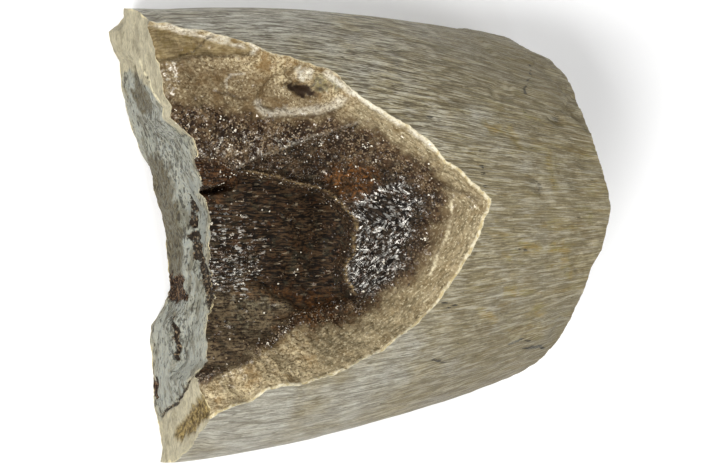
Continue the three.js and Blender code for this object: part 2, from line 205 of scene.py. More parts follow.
RED_CREASE = ([(-29.5, 23.2), (-27.8, 22.9), (-26.2, 22.4), (-24.6, 22.1)], 0.22)
SMALL_SHELL = ([(-28, 23.8), (-28.1, 25), (-27.2, 25.7), (-25.4, 26)], 0.14)
CLEFT_SLAB = ([(-28, 7.6), (-26.6, 7.9), (-25.6, 8.1)], 0.12)

# ---- The broken end at the wide side: (y, x at the bottom, x at the top, z where it turns) ----
WIDE_BREAK = [
    (37, -37.3, -39, 3.5), (35, -37.8, -39, 3.5), (33.6, -39.8, -39.1, 4), (30.5, -39.3, -39.1, 7),
    (28.5, -38.1, -39, 10), (24.3, -37.4, -38.5, 11), (22, -37.1, -38.1, 11),
    (20.6, -36.95, -37.3, 11), (18.8, -36.4, -37.4, 11), (17.4, -35.7, -35.9, 11),
    (15.7, -35, -33.9, 11), (11.2, -33.6, -32.4, 11), (4, -31.9, -29.1, 11.5),
    (-2.4, -30.5, -28.8, 12), (-9.9, -30.6, -28.9, 12), (-12, -31, -29.4, 12),
    (-14.7, -32.6, -30, 11), (-20, -32.3, -30.4, 10), (-23.4, -32.5, -32.8, 9),
    (-27.3, -32.1, -32.1, 7), (-33, -30.8, -32.4, 4), (-37, -30.2, -32.6, 3.5),
]
WIDE_TURN, WIDE_STEP = 1.5, 0.36
# Marks on that end, as (y, z).
END_FISSURE = ([(-12.8, 8.4), (-15.2, 10.4), (-17.7, 10.2), (-20, 9.8)], 0.25)
END_GROOVE = ([(-19.9, 21.5), (-22.5, 19.9), (-26.2, 14.5), (-29.6, 2.8)], 0.3)
END_CREASE = (
    [(6.6, 12.6), (3.3, 12.3), (0.1, 12.5), (-3.2, 13.2), (-6.8, 15), (-10, 17.6), (-12.2, 20.2)], 0.4,
)
END_HOLLOW = [
    (6, 12.6), (3, 12), (0, 11.9), (-3, 12.2), (-6, 13.4), (-9, 16), (-12, 18.8), (-12.8, 21.5),
    (-9.5, 21), (-6, 18), (-3, 15), (1, 13.3), (5, 13.2),
]
END_VEIN = ([(28, 13), (26.1, 15.3), (23.6, 18), (21.1, 19.8), (19, 20)], 0.22)
END_GROUNDS = {
    "end_tan": [
        [(42, -4), (26.6, -4), (27, 5), (25, 13.8), (22, 18.6), (18.6, 19.6), (16.6, 20.8), (15.6, 26),
         (42, 26)],
        [(-20, 21.4), (-26.2, 14.6), (-29.8, 2.2), (-31, -4), (-42, -4), (-42, 30), (-20, 30)],
    ],
    "end_olive": [
        [(-24.6, 26.5), (-26.2, 22), (-29.5, 15.4), (-32, 10.4), (-33.5, 12), (-31.4, 21),
         (-27.5, 28.5)],
    ],
    "end_umber": [
        [(-6, 0.5), (-6.4, 9.9), (-8.6, 11.2), (-10.9, 10.4), (-10.8, 3), (-8.6, -1)],
        [(-23.4, 2.6), (-26.8, 2.8), (-27, -3), (-23, -3)],
    ],
    "end_stain": [
        [(14, 2), (13, 10.5), (4, 10.8), (-4, 10.4), (-9, 8), (-9, 1)],
        [(27.5, 7), (24, 14.6), (20.4, 15.6), (19, 8), (23.2, 4.2)],
    ],
    "end_shade": [
        [(9, 14.5), (0, 14), (-8, 17.5), (-12.5, 22), (-12.5, 28), (9, 28)],
    ],
    "end_pores": [
        [(-9.8, 4.8), (-10.4, 11), (-15.2, 13), (-20, 12.6), (-19.9, 9), (-14, 6.4)],
        [(22, 10), (21, 17), (10, 18), (9, 10), (16, 8)],
    ],
}

# ---- The broken end at the narrow side: (y, x along the shaft's top edge) ----
NARROW_BREAK = [
    (37, 25), (31, 28.6), (29.6, 31), (27, 31.6), (21.7, 31.5), (14.2, 32.2), (8, 33.4),
    (4.5, 33.9), (-2.1, 33.1), (-5.2, 31.7), (-11.9, 30.6), (-17.3, 30.4), (-18.2, 29.7),
    (-21.2, 29), (-25, 25), (-37, 21),
]
NARROW_LEAN, NARROW_STEP = 0.17, 0.6

# ---- The underside: a rough trough between two flat walls ----
TROUGH_HALF_WIDTH, TROUGH_END, TROUGH_DEPTH, TROUGH_BANK = 15.0, 21.0, 2.6, 5.0
UNDER_STEP = 0.85

# ---- Damage to the outer wall, seen from above ----
# Chips are (x, y, radius, depth), flakes (outline, depth, bank), and lines (points, half width).
CHIPS = [
    (30.4, 12.2, 2.6, 0.4), (27.6, 9.4, 2.2, 0.3), (29.5, -15.5, 2.4, 0.5),
    (-31.5, -33, 2.2, 0.4), (-38, 35.6, 2, 0.4),
]
FLAKES = [
    ([(15.3, 22.4), (15.6, 24.2), (17.7, 25.3), (19.8, 24.8), (19.3, 23), (16.9, 21.7)], 0.3, 0.5),
    ([(27.6, 20.4), (29.2, 19.4), (30.3, 18.6), (31.3, 17.2), (36, 17.4), (36, 24), (29.7, 23)],
     0.6, 0.5),
    ([(24.9, 19.5), (26.4, 20.2), (27.5, 19.3), (27.2, 17.9), (25.8, 18.2)], 0.55, 1.0),
    ([(19.6, 9.7), (21, 9.2), (22.2, 7.5), (21.7, 6.3), (20, 7.3)], 0.45, 1.0),
    ([(26.9, 27.6), (27, 40), (38, 40), (38, 20.5), (31, 21.5), (29, 24.6)], 0.4, 0.35),
    ([(19.6, 29.5), (19.4, 40), (26.8, 40), (26.8, 28.6)], -0.3, 0.5),
    ([(18.9, -15.8), (19.9, -14.4), (24.6, -14.6), (26.2, -16.7), (19.2, -17.1)], 0.25, 0.6),
    ([(27, -3.4), (29, -6.2), (38, -7), (38, 3), (31, 1)], 0.35, 0.8),
]
GROOVES = [
    ([(17, 17.3), (17.7, 16), (18.3, 14.4)], 0.3),
    ([(23.4, 13.4), (23.3, 11), (23.3, 9), (23.9, 7.2)], 0.16),
    ([(16.9, 20.9), (17.6, 20.4), (18.6, 19.9)], 0.2),
]
CRACKS = [
    ([(25.5, 28.4), (24.8, 27), (23.7, 25.6), (22.6, 24.7), (21.8, 23.4)], 0.12),
    ([(11.5, 15.6), (11.3, 14), (11.2, 11.5), (11.1, 9.4), (11.1, 7.2)], 0.09),
]
DASHES = [
    ([(17.4, -2.3), (19, -2.3)], 0.1), ([(4.4, -10.9), (5.9, -10.6)], 0.16),
    ([(5.7, -11.5), (7.5, -11.1)], 0.14), ([(7.3, -9.4), (8.7, -9.1)], 0.1),
    ([(5.9, -20.2), (8.2, -20.3)], 0.14), ([(20, -17.6), (21.9, -17.2), (24.5, -17)], 0.12),
    ([(23.6, -18.5), (26, -18.3), (27.9, -18.4)], 0.2), ([(2.4, 19.4), (3.1, 19.3)], 0.16),
]
OCHRE_SPOTS = [
    [(15.9, -8.5), (18.5, -8.3), (21.4, -8.6), (21.3, -9.8), (18.7, -10), (16, -9.8)],
    [(22.1, -11), (24.3, -11), (25, -13.2), (22.8, -13)],
    [(11.4, -11.9), (13.5, -11.8), (16, -14.2), (13, -13.8)],
    [(25.3, -3.6), (29.1, -3.7), (29.4, -5.2), (25.8, -5.3)], [(26.5, -6), (28.8, -6), (28.6, -7)],
    [(17.4, -0.8), (21, -1), (21.2, -2.9), (18.4, -2.9)],
    [(23, -1.2), (27.2, -1.2), (27.2, -2.8), (23.4, -2.8)], [(14.8, -2.9), (16.3, -2.9), (16.3, -3.9)],
    [(18.9, -15.8), (19.9, -14.4), (24.6, -14.6), (26.2, -16.7), (19.2, -17.1)],
    [(27, 29.4), (29.5, 28.8), (30.5, 27), (28.5, 27.6)],
    [(12, 19), (15.4, 17.9), (16.6, 16.4), (13, 17)],
]

# ---- The blocks that break the shaft ----
WIDE_ACROSS, NARROW_ACROSS, ENDS_UP = (-42, 42), (-40, 42), (-8, 46)
UNDER_ALONG, UNDER_ACROSS = (-48, 46), (-44, 48)
CLEAR_OF_STONE = 90.0
# A block's corners are strewn by this share of its step, so no grid shows in the break.
STREWN = 0.3
# Which of a block's own numbers (u, v, height) gives x, y and z.
LYING, UPRIGHT = [0, 1, 2], [2, 0, 1]
# Edges shorter than the first of these that leaves the stone closed are taken out.
SLIVERS = (0.002, 0.0005)

# ---- The stone's surfaces, and what is written on its skin for the finishes ----
SURFACES = 5
WALL, BREAK, WIDE_FACE, NARROW_FACE, UNDER_FACE = range(SURFACES)
TONES = (
    "marrow", "umber", "hollow", "glassy", "scar", "dish", "grit", "ashen", "rust", "slab", "brink",
    "chalk", "growth", "recess_dark_and_shade", "glitter", "moss", "ledge", "plateau", "glints", "chunk",
)
FARTHEST_GAP = 12.0
# Ground that is more than this share crystal keeps its flat faces.
SHARP_SHARE = 0.55


# ---- Numbers over a field ----
def smooth(value, low, high):
    """From 0 at low to 1 at high, easing at both ends."""
    t = np.clip((value - low) / (high - low), 0.0, 1.0)
    return t * t * (3.0 - 2.0 * t)


def chance(iu, iv, seed):
    """A fixed random number from 0 to 1 for each whole-numbered cell."""
    n = iu.astype(np.int64) * 73856093 ^ iv.astype(np.int64) * 19349663 ^ (seed * 83492791)
    n &= 0xFFFFFFFF
    n = (n ^ (n >> 15)) * 2246822519 & 0xFFFFFFFF
    n = (n ^ (n >> 13)) * 3266489917 & 0xFFFFFFFF
    return (n ^ (n >> 16)) / 4294967295.0


def waves(u, v, spacing, seed):
    """Smooth random ups and downs of about the given spacing, from -1 to 1."""
    u, v = u / spacing + 0.37 * seed, v / spacing - 0.61 * seed
    iu, iv = np.floor(u), np.floor(v)
    fu, fv = u - iu, v - iv
    corners = []
    for du in (0, 1):
        for dv in (0, 1):
            turn = 2 * math.pi * chance(iu + du, iv + dv, seed)
            corners.append(np.cos(turn) * (fu - du) + np.sin(turn) * (fv - dv))
    su, sv = (f * f * f * (f * (6 * f - 15) + 10) for f in (fu, fv))
    near = corners[0] + sv * (corners[1] - corners[0])
    far = corners[2] + sv * (corners[3] - corners[2])
    return 1.5 * (near + su * (far - near))


def crumple(u, v, spacing, seed, layers=3):
    """Waves with finer and finer waves on them."""
    total = np.zeros_like(u)
    for layer in range(layers):
        total += waves(u, v, spacing / 2**layer, seed + 7 * layer) / 2**layer
    return total


def cells(u, v, spacing, seed):
    """Scattered points: distance to the nearest, the offset from it, and its own random number."""
    u, v = u / spacing, v / spacing
    iu, iv = np.floor(u), np.floor(v)
    nearest = np.full(u.shape, 9.0)
    off_u, off_v, own = np.zeros_like(u), np.zeros_like(u), np.zeros_like(u)
    for du in (-1, 0, 1):
        for dv in (-1, 0, 1):
            cu, cv = iu + du, iv + dv
            pu = u - cu - chance(cu, cv, seed)
            pv = v - cv - chance(cu, cv, seed + 1)
            distance = np.hypot(pu, pv)
            closer = distance < nearest
            nearest = np.where(closer, distance, nearest)
            off_u, off_v = np.where(closer, pu, off_u), np.where(closer, pv, off_v)
            own = np.where(closer, chance(cu, cv, seed + 2), own)
    return nearest, off_u, off_v, own


def facets(u, v, spacing, seed):
    """Flat-topped crystals, each tilted its own way, from about -1 to 1."""
    _, off_u, off_v, own = cells(u, v, spacing, seed)
    turn = 2 * math.pi * own
    return 1.1 * (np.cos(turn) * off_u + np.sin(turn) * off_v) + (own * 7.3 % 1.0 - 0.5)


def knobs(u, v, spacing, seed):
    """Rounded lumps side by side, from 0 in the seams to 1 on top."""
    nearest, _, _, _ = cells(u, v, spacing, seed)
    return np.clip(1.0 - 1.7 * nearest**2, 0.0, 1.0)


def lumps(u, v, spacing, seed):
    """The solid's own gentle lumps, from -1 to 1."""
    a, b = u / spacing * math.pi, v / spacing * math.pi
    return (
        0.45 * np.sin(a + 0.6 * b + 1.7 * seed)
        + 0.33 * np.sin(1.9 * b - 0.8 * a + 4.1 * seed)
        + 0.22 * np.sin(2.7 * a + 2.3 * b + 2.9 * seed)
    )


def to_edge(points, x, y, closed=True):
    """How far each (x, y) lies inside a closed outline or from a line, and the nearest point on it."""
    nearest = np.full(x.shape, np.inf)
    near_x, near_y = np.zeros_like(x), np.zeros_like(x)
    within = np.zeros(x.shape, bool)
    ends = points[1:] + points[:1] if closed else points[1:]
    for (ax, ay), (bx, by) in zip(points, ends):
        if ay != by:
            within ^= ((ay > y) != (by > y)) & (x < (bx - ax) * (y - ay) / (by - ay) + ax)
        run = (bx - ax) ** 2 + (by - ay) ** 2
        along = np.clip(((x - ax) * (bx - ax) + (y - ay) * (by - ay)) / run, 0.0, 1.0)
        px, py = ax + along * (bx - ax), ay + along * (by - ay)
        distance = np.hypot(x - px, y - py)
        closer = distance < nearest
        nearest = np.where(closer, distance, nearest)
        near_x, near_y = np.where(closer, px, near_x), np.where(closer, py, near_y)
    return (np.where(within, nearest, -nearest) if closed else nearest), near_x, near_y


def patch(outline, x, y, blur, ragged=0.0, spacing=2.0, seed=5):
    """1 inside the outline and 0 outside, over an edge of the given blur, made ragged by noise."""
    inside = to_edge(outline, x, y)[0]
    return smooth(inside + ragged * crumple(x, y, spacing, seed), -blur / 2, blur / 2)


def streak(line, x, y, blur=0.25):
    """1 on the line and 0 beside it."""
    points, half_width = line
    return 1.0 - smooth(to_edge(points, x, y, closed=False)[0], half_width - blur, half_width + blur)


def sheet_through(heights):
    """The smooth sheet through the given heights: a bending sheet on a sloping plane."""
    points = np.array(heights, float)
    xy, n = points[:, :2], len(points)

    def bend(square):
        return np.where(square > 0, square * np.log(np.maximum(square, 1e-12)), 0.0)

    apart = ((xy[:, None] - xy[None]) ** 2).sum(2)
    plane = np.column_stack([np.ones(n), xy])
    rows = np.block([[bend(apart), plane], [plane.T, np.zeros((3, 3))]])
    weights = np.linalg.solve(rows, np.append(points[:, 2], [0, 0, 0]))

    def height(x, y):
        z = weights[n] + weights[n + 1] * x + weights[n + 2] * y
        for (px, py), weight in zip(xy, weights):
            z = z + weight * bend((x - px) ** 2 + (y - py) ** 2)
        return z

    return height


def read_table(table, at, column):
    """A column of a table, read between its rows; the first column falls from row to row."""
    rows = np.array(table[::-1], float)
    return np.interp(at, rows[:, 0], rows[:, column])


# ---- Surfaces of the stone ----
def section_at(x):
    """The shaft's half width, middle and crest height at x."""
    along = np.clip((x - WIDE_END) / TAPER_LENGTH, 0.0, TAPER_MOST)
    half = HALF_WIDTH - WIDTH_LOSS * along**TAPER_POWER
    return half, CENTRE_DRIFT * along, CREST_HEIGHT - CREST_LOSS * along


def round_wall(turn):
    """How far across and up from its middle the widest section's wall is, at an angle round it."""
    y = HALF_WIDTH * np.sign(np.cos(turn)) * np.abs(np.cos(turn)) ** (2 / SECTION_POWER)
    return y, np.sin(turn) * np.where(np.sin(turn) > 0, CREST_HEIGHT, BELLY_DEPTH)


def lay_of(x, girth):
    """The bone's strands run along lines of one lay, which close up towards the narrow end."""
    _, centre, _ = section_at(x)
    closing = np.exp(LAY_CLOSING * np.maximum(x - LAY_FROM, 0.0) ** 2)
    return (girth - HALF_GIRTH - LAY_DRIFT * centre) * closing


WALL_TURNS = np.linspace(-WALL_BELOW, math.pi + WALL_BELOW, 6000)
WALL_STEPS = np.hypot(*(np.diff(part) for part in round_wall(WALL_TURNS)))
WALL_GIRTHS = np.append(0.0, np.cumsum(WALL_STEPS))
HALF_GIRTH = WALL_GIRTHS[-1] / 2


def girth_at(x, y, z):
    """How far round the wall a point on it lies."""
    half, centre, crest = section_at(x)
    across = np.clip((y - centre) / half, -1, 1)
    up = (z - WIDEST_LEVEL) / np.where(z > WIDEST_LEVEL, crest, BELLY_DEPTH)
    turn = np.arctan2(up, np.sign(across) * np.abs(across) ** (SECTION_POWER / 2))
    return np.interp(np.where(turn < -math.pi / 2, turn + 2 * math.pi, turn), WALL_TURNS, WALL_GIRTHS)


def wall_height(x, y):
    """Height of the outer wall seen from above."""
    half, centre, crest = section_at(x)
    across = np.clip(np.abs((y - centre) / half), 0.0, 1.0)
    return WIDEST_LEVEL + crest * np.sqrt(1.0 - across**SECTION_POWER)


def drift(x, y):
    """Shifts a drawn outline's points a little, so no edge on the break runs straight."""
    return (
        x + DRIFT_BROAD * waves(x, y, 3.4, 11) + DRIFT_FINE * waves(x, y, 1.1, 12),
        y + DRIFT_BROAD * waves(x, y, 3.1, 13) + DRIFT_FINE * waves(x, y, 1.0, 14),
    )


def chalk_share(x, y, inset):
    """White crust and pale chipped edges of the break, 0 to 1."""
    crumbs = smooth(waves(x, y, 0.55, 31), -0.35, 0.25)
    lip = streak(SHELL_LIP, x, y, 0.4) * (0.6 + 0.4 * crumbs)
    chip = streak(RIM_CHIP, x, y, 0.25) * smooth(waves(x, y, 2.4, 30), -0.9, 0.2)
    crust = patch(PIT_CRYSTALS, x, y, 0.5, 0.3, 0.8, 32) * (0.4 + 0.6 * crumbs)
    broken = smooth(waves(x, y, 1.4, 19), -0.5, 0.2) * smooth(x, -27, -25)
    broken *= 1 - 0.6 * smooth(x, -17, -12)
    shelf_lip = 0.7 * streak(SHELF_LINE, x, y, 0.2) * (0.25 + 0.75 * crumbs) * broken
    slab_edge = smooth(inset, 1.5, 0.9) * smooth(-x, 23.5, 24.5) * smooth(y, 20, 24)
    slab_edge *= smooth(crumple(x / 1.8, y, 1.5, 37, 2), -0.5, 0.2)
    return np.maximum.reduce([
        0.5 * lip, 0.8 * chip, crust, shelf_lip, 0.6 * slab_edge,
        0.5 * streak(SMALL_SHELL, x, y, 0.15), 0.8 * streak(SCAR_LIP, x, y),
    ])


def recess_dark_and_shade_share(x, y):
    """Dark of the pit's hole, its ashy spots, the cracks, the creases, the scar's edge and the cleft,
    with a painted shadow under the shell lip, 0 to 1: partly the stone's own dark, partly painted shade
    in these recesses.
    """
    # A painted shadow under the shell lip's step.
    painted_shadow_under_lip = streak(([(px + 0.3, py - 0.85) for px, py in SHELL_LIP[0]], 0.25), x, y, 0.4)
    return np.maximum.reduce([
        1.1 * patch(PIT_HOLE, x, y, 0.45, 0.9, 0.9, 33), 0.6 * streak(TIP_CREASE, x, y, 0.3),
        0.85 * streak(SCAR_CRACK, x, y, 0.12), 0.55 * streak(RED_CREASE, x, y, 0.3),
        0.5 * painted_shadow_under_lip * smooth(x, -22.5, -21),
        0.75 * patch(PIT_ASH, x, y, 0.8) * smooth(waves(x, y, 0.9, 40), 0.1, 0.4),
        0.55 * streak(SCAR_EDGE, x, y, 0.2), 0.75 * patch(CLEFT, x, y, 0.6) * smooth(-x, 24.5, 26),
    ])


def grounds(x, y, inset):
    """What the break's ground is made of at (x, y): a 0 to 1 share for each kind."""
    tone = {
        "marrow": patch(MARROW, x, y, 4.2, 1.1, 2.6, 21),
        "umber": patch(UMBER, x, y, 2.6, 0.7, 2.2, 22),
        "hollow": patch(HOLLOW, x, y, 0.8),
        "glassy": patch(GLASSY, x, y, 2.0, 0.7, 1.6, 23),
        "scar": patch(FLAKE_SCAR, x, y, 0.8),
        "dish": patch(DISH, x, y, 1.6) * patch(HOLLOW, x, y, 1.2),
        "grit": patch(FLOOR_GRIT, x, y, 3.5, 1.2, 2.0, 24) * (0.4 + 0.6 * smooth(-y, -1.0, 4.5)),
        "ashen": patch(ASHEN, x, y, 2.4, 1.2, 1.8, 25),
        "rust": np.maximum(
            patch(RUST, x, y, 2.0, 0.9, 1.4, 26), 0.6 * patch(RUST_LOW, x, y, 2.4, 1.4, 1.3, 27)
        ),
        "slab": streak(CLEFT_SLAB, x, y, 0.12),
        "chunk": patch(CHUNK, x, y, 0.6),
    }
    shelf = patch(SHELF, x, y, 0.9) * (1 - smooth(x, -11.0, -6.5))
    tone["umber"] = np.maximum(tone["umber"], 0.85 * shelf)
    floor_rust = [patch(outline, x, y, 1.6, 1.0, 1.3, 26) for outline in FLOOR_RUST]
    tone["rust"] = np.maximum(tone["rust"], 0.45 * np.maximum.reduce(floor_rust))
    ledge = smooth(-x, 12.0, 17.0) * smooth(-y, 9.0, 13.0) * (1 - tone["hollow"])
    beside = -to_edge(HOLLOW, x, y)[0] + 0.5 * waves(x, y, 1.6, 18)
    tone["marrow"] *= 1 - 0.8 * ledge * smooth(beside, 0.6, 2.6)
    bank = ledge * (1 - smooth(beside, 1.4, 2.6))
    tone["ledge"] = ledge * smooth(inset, 0.3, 1.2)
    brink = to_edge(HOLLOW, x, y)[0] + 0.12 * waves(x, y, 1.1, 28)
    tone["brink"] = (1.0 - smooth(np.abs(brink + 0.42), 0.0, 0.14)) * smooth(x, -25, -23.8)
    tone["brink"] *= smooth(y, -9.8, -8.6) * (0.55 + 0.45 * smooth(waves(x, y, 2.0, 29), -0.5, 0.3))
    glitter = np.maximum(
        patch(CORNER_GLITTER, x, y, 1.4, 0.9, 1.2, 34), patch(SHELF_GLITTER, x, y, 1.4, 0.8, 1.2, 35)
    )
    tone["glitter"] = 0.58 * glitter * smooth(waves(x, y, 0.55, 36), 0.0, 0.4)
    tone["chalk"] = chalk_share(x, y, inset)
    tone["growth"] = streak(GROWTH_LINE, x, y, 0.1) * smooth(waves(x, y, 1.8, 38), -0.9, 0.1)
    tone["moss"] = np.maximum(patch(PIT_ASH, x, y, 0.8, 0.5, 0.8, 39), patch(PIT_MOSS, x, y, 0.8))
    tone["recess_dark_and_shade"] = recess_dark_and_shade_share(x, y)
    upper = smooth(y - x, 12.0, 17.0) * smooth(x, -15.0, -9.0)
    tone["fibrous"] = upper * (1.0 - smooth(inset, 5.0, 7.0))
    tone["plateau"] = np.maximum(smooth(-x, 7.0, 12.0) * smooth(y, 10.0, 14.0), tone["ledge"])
    shelf_edge = streak((SHELF_LINE[0], 0.9), x, y, 0.9)
    tone["glints"] = np.clip(
        0.08 * tone["marrow"] + 0.04 * tone["plateau"] + 0.1 * tone["umber"] + 0.2 * shelf_edge
        + 0.46 * tone["grit"] + 0.54 * tone["glassy"] - 0.1 * tone["rust"] + 0.4 * glitter
        + 0.2 * tone["chalk"] + 0.2 * tone["ledge"] + 0.15 * bank
        - 0.2 * tone["hollow"] * (1 - tone["grit"])
        - 0.2 * tone["chunk"] - 0.8 * patch(SMOOTH_HOLLOW, x, y, 1.0), 0, 1,
    )
    return tone


def end_grounds(y, z):
    """What the wide end's ground is made of at (y, z)."""
    wy, wz = y + 0.3 * waves(y, z, 2.4, 74), z + 0.3 * waves(y, z, 2.1, 75)
    tone = {}
    for name, outlines in END_GROUNDS.items():
        ragged = 1.3 if name in ("end_umber", "end_stain") else 0.6
        shares = [patch(outline, wy, wz, 1.0, ragged, 1.5, 76) for outline in outlines]
        tone[name] = np.maximum.reduce(shares)
    pits = smooth(waves(y, z, 1.0, 77), -0.1, 0.3)
    crease = patch(END_HOLLOW, wy, wz, 1.0, 1.0, 1.3, 80) * (0.5 + 0.5 * pits)
    tone["fissure"] = np.maximum.reduce([
        streak(END_FISSURE, wy, wz), 0.7 * streak(END_GROOVE, wy, wz),
        crease, 0.6 * streak(END_CREASE, wy, wz, 0.6) * (0.3 + 0.7 * pits),
        0.8 * streak(END_VEIN, wy, wz, 0.3) * pits,
    ])
    tone["end_vein"] = streak(END_VEIN, wy - 0.3, wz + 0.3) * (1 - pits)
    return tone


def wall_marks(x, y):
    """Ochre spots, dark dashes and bare flake scars of the outer wall, seen from above."""
    wx, wy = x + 0.5 * waves(x, y, 1.6, 113), y + 0.4 * waves(x, y, 1.3, 114)
    spots = [patch(outline, wx, wy, 0.9, 0.8, 1.3, 111) for outline in OCHRE_SPOTS]
    spots += [streak((points, width + 0.3), wx, wy, 0.5) for points, width in GROOVES[:2]]
    lines = [streak(line, wx, wy, 0.12) for line in DASHES]
    lines += [0.72 * streak(line, wx, wy, 0.12) for line in CRACKS]
    broken = smooth(waves(x, y, 1.2, 112), -0.6, 0.3)
    lines += [0.55 * streak(line, wx, wy, 0.5) * broken for line in GROOVES]
    pits, scars = FLAKES[2:4], FLAKES[:2] + FLAKES[4:5] + FLAKES[6:]
    lines += [share * patch(pit[0], wx, wy, 1.4) for share, pit in zip((0.45, 0.4), pits)]
    bare = [patch(outline, wx, wy, 0.6) for outline, _, _ in scars]
    return {
        "ochre": np.maximum.reduce(spots), "dash": np.maximum.reduce(lines),
        "bare": np.maximum.reduce(bare),
    }


def shelf_relief(x, y, grain):
    """Blocky crystals on the marrow's shelf."""
    rough = 0.3 * crumple(x, y, 3.6, 41, 2) + 0.6 * grain * facets(x, y, 0.7, 42)
    return rough + 0.7 * grain * facets(x, y, 1.5, 43)


def floor_relief(x, y, grain, grit):
    """Fibres along the hollow's floor, with grit standing on them."""
    fibres = 0.2 * waves(x / 9, y, 0.8, 44) + 0.1 * waves(x / 6, y, 0.5, 45)
    fibres += 0.25 * crumple(x / 2, y, 2.6, 46, 2)
    return fibres + 1.1 * grain * facets(x / 3, y, 0.5, 47) * np.maximum(grit, 0.35)


def glassy_relief(x, y, inset, grain):
    """Rounded lumps of the glassy wall, and its one smooth hollow."""
    turned = waves(x, y, 2.0, 48)
    bubbly = 0.26 * knobs(1.7 * inset + 0.5 * turned, 0.8 * y - 0.4 * turned, 1.15, 49)
    bubbly += 0.14 * knobs(1.5 * inset, 0.9 * y, 0.6, 50) + 0.3 * waves(x, y, 3.0, 51)
    bubbly *= 1 - 0.7 * patch(SMOOTH_HOLLOW, x, y, 1.0)
    bubbly -= 0.7 * patch(SMOOTH_HOLLOW, x, y, 1.6)
    return bubbly + 0.35 * grain * facets(1.3 * inset, y, 0.5, 63)


def layer_relief(x, y, inset, grain):
    """Growth layers of the cortex."""
    layers = inset + 0.12 * waves(x, y, 2.4, 52)
    laminae = 0.04 * np.sin(layers * 2 * math.pi / 0.68) + 0.05 * waves(x / 2, y, 1.2, 53)
    return laminae + 0.12 * grain * facets(layers, 0.4 * y, 0.5, 61)


def relief(x, y, inset, settings):
    """Fine ups and downs of the break, by kind of ground."""
    tone = grounds(x, y, inset)
    marrow, hollow, glassy = tone["marrow"], tone["hollow"], tone["glassy"]
    grain = settings.grain_depth / MM
    plateau = marrow * (1 - hollow) * (1 - glassy)
    floor = floor_relief(x, y, grain, tone["grit"])
    s, t = 0.75 * x - 0.66 * y, 0.66 * x + 0.75 * y
    strands = 0.2 * waves(s / 6, t, 0.9, 54) + 0.1 * waves(s / 4, t, 0.5, 55)
    left = smooth(-x, 9.0, 14.0)
    sparkle = left * (0.6 * grain * facets(x, y, 0.8, 56) + 0.14 * crumple(x, y, 2.2, 57, 2))
    ripple = 0.1 * waves(x / 7, y, 1.1, 58) + 0.05 * waves(x / 5, y, 0.5, 62)
    ripple += 0.1 * waves(x, y, 3.5, 59)
    height = plateau * shelf_relief(x, y, grain)
    height += marrow * hollow * (1 - glassy) * floor * (1 - 0.45 * tone["dish"])
    height += glassy * glassy_relief(x, y, inset, grain)
    cortex = (1 - marrow) * (1 - tone["scar"])
    height += cortex * (1 - tone["fibrous"]) * sparkle
    height += cortex * (1 - tone["fibrous"]) * (1 - left) * layer_relief(x, y, inset, grain)
    height += cortex * tone["fibrous"] * strands
    height += tone["scar"] * ripple
    height += 0.12 * tone["brink"] + 0.1 * tone["growth"] + 1.2 * tone["slab"]
    height += 0.3 * streak(SHELL_LIP, x, y, 0.5) + 0.2 * streak(SHELF_LINE, x, y)
    height += (
        0.3 * tone["glitter"] * facets(x, y, 0.6, 64) + 0.25 * tone["chalk"] * facets(x, y, 0.5, 60)
    )
    height -= 0.5 * streak(TIP_CREASE, x, y, 0.5) + 0.35 * streak(SCAR_CRACK, x, y, 0.2)
    height -= 0.35 * streak(RED_CREASE, x, y, 0.35) - 0.2 * streak(SMALL_SHELL, x, y, 0.3)
    height -= 1.0 * patch(PIT_HOLE, x, y, 1.2)
    height += 0.3 * patch(PIT_CRYSTALS, x, y, 0.8) * knobs(x, y, 0.6, 65)
    return height


def break_height(x, y, settings):
    """Height of the slanting break; outside the rim it mirrors the fall inside, so it crosses cleanly."""
    sheet = sheet_through([(px, py, float(wall_height(px, py))) for px, py in RIM] + BREAK_HEIGHTS)
    wx, wy = drift(x, y)
    inside, rim_x, rim_y = to_edge(RIM, wx, wy)
    away = np.maximum(-inside, 1e-6)
    back = np.where(inside > 0, 0.0, np.minimum(1.0, RIM_MIRROR / away))
    px = np.where(inside > 0, wx, rim_x + back * (rim_x - wx))
    py = np.where(inside > 0, wy, rim_y + back * (rim_y - wy))
    inset = np.where(inside > 0, inside, back * away)
    z = sheet(px, py)
    for outline, depth, bank in LEDGES:
        z -= depth * smooth(to_edge(outline, px, py)[0], -bank / 2, bank / 2)
    z += 0.14 * (lumps(px, py, 3.1, 2) + lumps(py, -px, 4.4, 6)) * smooth(inset, 0, 3)
    z += relief(px, py, inset, settings) * smooth(inset, 0.1, 1.1)
    bite = np.maximum(wall_height(px, py) - z, RIM_LEAST_BITE * inset)
    return wall_height(x, y) - np.where(inside > 0, bite, -bite / np.maximum(back, 1e-6))


def wide_break_at(y, z):
    """How far along the shaft the wide end's broken face lies."""
    low, high, crease = (read_table(WIDE_BREAK, y, k) for k in (1, 2, 3))
    turn = smooth(z, crease - WIDE_TURN, crease + WIDE_TURN)
    x = low + (high - low) * turn + 0.25 * lumps(y, z, 4.3, 3)
    x += 0.16 * crumple(y, z, 2.4, 71, 3) + 0.05 * facets(y / 2, z, 0.7, 72)
    tone = end_grounds(y, z)
    x += 0.6 * tone["fissure"] + 0.3 * tone["end_umber"] * (1 + 0.5 * facets(y, z, 0.8, 73))
    x += 0.12 * tone["end_pores"] * waves(y / 2, z, 0.7, 78)
    return x + 0.2 * tone["end_olive"] * (1 + waves(y / 1.5, z / 1.5, 0.6, 79))


def narrow_break_at(y, z):
    """How far along the shaft the narrow end's broken face lies."""
    edge = read_table(NARROW_BREAK, y, 1)
    drop = wall_height(edge, y) - z
    deep = smooth(drop, 0, 4)
    x = edge + NARROW_LEAN * drop + 0.45 * lumps(y, z, 6.5, 5) * deep
    x += 0.18 * crumple(y, z, 1.6, 81, 2) + deep * (0.3 * crumple(y, z, 3.2, 82, 3))
    return x - 0.18 * deep * facets(y, z, 1.4, 83)


